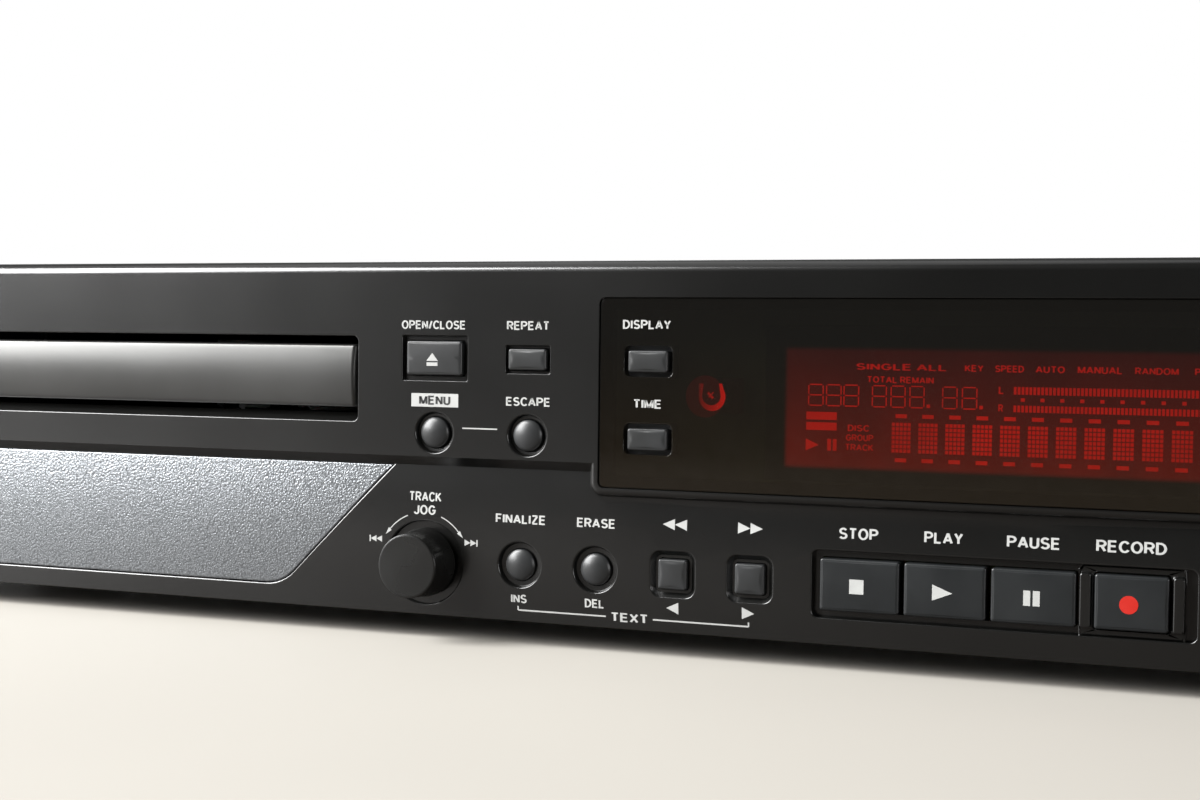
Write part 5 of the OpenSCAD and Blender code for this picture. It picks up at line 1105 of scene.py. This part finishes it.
phono_x, phono_z = phono_first
group_z, channel_x = 60, phono_x + 10.15
rear_words = [("INPUT", phono_x, group_z, 9), ("OUTPUT", phono_x - phono_pitch, group_z, 11),
              ("DIGITAL", 131.4, group_z, 12), ("AC IN", middle("mains_inlet")[0], 55.5, 9),
              ("L", channel_x, phono_z + phono_rise, 1.6), ("R", channel_x, phono_z, 1.6)]
rear_marks = [rear_word(text, (x, z), width, 2.3) for text, x, z, width in rear_words]
printed("rear_print", rear_marks, rear_y + film_gap, ink, "case", "case_steel")


# Top cover
# One sheet of steel folded over the top and both sides, powder-coated black, with vent slots over the power
# supply. It is made flat, 1 mm thick, and bent to a radius of 1.5 mm outside.
cover_low, cover_high = corners("top_cover")
cover_t, bend, cut_edge = 1.0, 1.5, 0.15
flat_half = cover_high[0] - bend
bend_marks = flat_half + bend * np.linspace(0, np.pi / 2, 7)
blank_half = bend_marks[-1] + cover_high[2] - bend - cover_low[2]
vent_first, vent_pitch, vent_count, vent_back = 30, 10, 12, 70
vent_size, vent_corner = (3, 44), 1.4
vents = [rounded((cover_low[0] + vent_first + vent_pitch * i, rear_y - vent_back), vent_size, vent_corner, 4)
         for i in range(vent_count)]


def blank(grow):
    """Outline of the flat sheet, across and along the case, with marks on its ends where the bends run."""
    marks = np.concatenate([[-blank_half - grow], -bend_marks[::-1], bend_marks, [blank_half + grow]])
    front, back = [np.stack([marks, np.full(len(marks), place)], 1)
                   for place in (cover_low[1] - grow, cover_high[1] + grow)]
    return np.concatenate([front, back[::-1]])


def folded(part):
    """Folds a flat part down at both sides: past the flat, a quarter arc about the bend, then straight
    down."""
    points, faces = part
    across, inward, along = points.T
    past = np.abs(across) - flat_half
    turn = np.clip(past / bend, 0, np.pi / 2)
    reach = np.minimum(np.abs(across), flat_half) + (bend - inward) * np.sin(turn)
    height = cover_high[2] - bend + (bend - inward) * np.cos(turn) - np.maximum(past - bend * np.pi / 2, 0)
    return np.stack([np.sign(across) * reach, along, height], 1), faces


bend_pitch = 9
bend_spots = grid(np.concatenate([-bend_marks, bend_marks]),
                  np.arange(cover_low[1] + 5, cover_high[1] - 2, bend_pitch))
cover_parts = plate(blank, 0, cover_t, cut_edge, vents, bend_spots)
piece("cover_sheet", [folded(part) for part in cover_parts], powder_coat, "case", "case_steel", "top_cover")


# Rack ears and screws
# Steel angle plates with round-ended slots, coated like the cover, and black pan-head screws.
screw_black = skin("black_zinc_screw", ("#18181a", "#242427"), cloud=3, rough=(0.3, 0.42), grain=0.4,
                   height=0.01, Metallic=0.8)
ear_t, ear_trim, ear_lap, ear_edge, ear_corner, flange_corner = 2.5, 5.0, 0.5, 0.4, 0.8, 1.0
slot_size, slot_in, slot_up = (10.3, 6.8), 8.75, 38.1
for side, name in (-1, "rack_ear_left"), (1, "rack_ear_right"):
    ear_low, ear_high = corners(name)
    outer_x, inner_x = (ear_low[0], ear_high[0])[::-side]
    ear_mid, ear_back, flange_y = middle(name), ear_low[1] + ear_t, ear_low[1] + ear_t - ear_lap
    slots = [rounded((outer_x - side * slot_in, ear_mid[1] + up), slot_size, slot_size[1] / 2)
             for up in (-slot_up, slot_up)]
    front = plate(rounded(ear_mid, (ear_high - ear_low)[[0, 2]], ear_corner), ear_low[1], ear_back, ear_edge,
                  slots)
    flange_mid = ((ear_high[1] + flange_y) / 2, ear_mid[1])
    flange_size = (ear_high[1] - flange_y, ear_high[2] - ear_low[2] - 2 * ear_trim)
    flange = plate(rounded(flange_mid, flange_size, flange_corner), 0, ear_t, ear_edge)
    back = [(np.stack([inner_x + side * (ear_t - points[:, 1]), points[:, 0], points[:, 2]], 1), faces)
            for points, faces in flange]
    piece(f"{name}_angle", front + back, powder_coat, "case", "case_steel", name)
dress(["cover_screws", "ear_screws"], screw_black, edge=0.15)


# Stage
# A plain pale floor, a large soft key light at the upper left, a weak fill at the right, an overhead light
# and a white backdrop. The floor is pale to the camera and throws little light back onto the object. The
# world is white to the camera and behind the object, and dim in front, as a studio is behind its camera.
floor_half, floor_front = 6.0, -0.8
floor_corners = [(-floor_half, floor_front, 0), (floor_half, floor_front, 0), (floor_half, floor_half, 0),
                 (-floor_half, floor_half, 0)]
floor_mesh = bpy.data.meshes.new("floor")
floor_mesh.from_pydata(floor_corners, [], [(0, 1, 2, 3)])
floor = put("floor", floor_mesh)
pale_floor = skin("pale_floor", ("#aaa69f", "#b0aca4"), cloud=400, rough=(0.6, 0.7), grain=3, height=0.01)
floor_mesh.materials.append(pale_floor)
tree = pale_floor.node_tree
shader = tree.nodes["Principled BSDF"]
pale = shader.inputs["Base Color"].links[0].from_socket
direct = add(tree, "LightPath").outputs["Is Camera Ray"]
toned = add(tree, "Mix", {"Factor": direct, 6: linear("#443d36"), 7: pale}, data_type="RGBA")
tree.links.new(toned.outputs[2], shader.inputs["Base Color"])

world = bpy.data.worlds.new("studio")
bpy.context.scene.world = world
world.use_nodes = True
tree = world.node_tree
tree.nodes.clear()
white = (1, 1, 1, 1)
aim = add(tree, "TexCoord").outputs["Generated"]
toward = add(tree, "VectorMath", {0: aim, 1: (-0.62, 0.78, 0)}, operation="DOT_PRODUCT").outputs["Value"]
behind = add(tree, "MapRange", {"Value": toward, "From Min": -0.5, "From Max": 0.6, "To Min": 0.02,
                                "To Max": 2.2}, interpolation_type="SMOOTHSTEP")
height = add(tree, "SeparateXYZ", {0: aim}).outputs["Z"]
below = add(tree, "MapRange", {"Value": height, "From Min": 0.15, "From Max": 0.45, "To Min": 1.0,
                               "To Max": 0.08}, interpolation_type="SMOOTHSTEP")
level = add(tree, "Math", {0: behind.outputs[0], 1: below.outputs[0]}, operation="MULTIPLY")
seen = add(tree, "LightPath").outputs["Is Camera Ray"]
room = add(tree, "Background", {"Color": white, "Strength": level.outputs[0]})
backdrop = add(tree, "Background", {"Color": white, "Strength": 1.0})
shown = add(tree, "MixShader", {0: seen, 1: room.outputs[0], 2: backdrop.outputs[0]})
add(tree, "OutputWorld", {0: shown.outputs[0]})


def turn_to(made, right, up, back, place):
    """Sets an object at a place with its X, Y and Z axes along the three directions."""
    pose = np.eye(4)
    pose[:3] = np.stack([right, up, back, place], 1)
    made.matrix_world = Matrix(pose)


def softbox(name, place, target, size, power):
    """Area light of a width and height at a place, turned towards a target."""
    lamp = bpy.data.lights.new(name, "AREA")
    lamp.shape, lamp.energy = "RECTANGLE", power
    lamp.size, lamp.size_y = size
    back = np.subtract(place, target) / np.linalg.norm(np.subtract(place, target))
    right = np.cross((0, 0, 1), back)
    right /= np.linalg.norm(right)
    turn_to(put(name, lamp), right, np.cross(back, right), back, place)


softbox("key", place=(-1.41, -1.08, 1.083), target=(-0.05, -0.14, 0.05), size=(1.1, 1.6), power=145)
softbox("fill", place=(1.5, -0.75, 0.3), target=(0.05, -0.14, 0.05), size=(1.2, 0.6), power=11)
softbox("overhead", place=(-0.5, 0.2, 1.6), target=(0, -0.1, 0.05), size=(1.4, 1.4), power=4)


# Camera
# A normal lens close to the panel's right half and a little below its top edge, turned 21.6 degrees to the
# left and tipped 1.9 degrees down.
yaw, pitch, roll = np.radians([21.614, 1.881, 0.690])
eye = np.array([173.32, -540.29, 74.71]) / 1000
ahead = np.array([-np.sin(yaw) * np.cos(pitch), np.cos(yaw) * np.cos(pitch), -np.sin(pitch)])
level_right = np.array([np.cos(yaw), np.sin(yaw), 0])
level_up = np.cross(level_right, ahead)
right = np.cos(roll) * level_right + np.sin(roll) * level_up
up = np.cos(roll) * level_up - np.sin(roll) * level_right
lens = bpy.data.cameras.new("camera")
lens.sensor_width, lens.lens, lens.sensor_fit = 36.0, 53.55, "HORIZONTAL"
lens.clip_start, lens.clip_end = 0.01, 50
camera = put("camera", lens)
turn_to(camera, right, up, -ahead, eye)
bpy.context.scene.camera = camera
bpy.context.scene.view_settings.view_transform = "Standard"
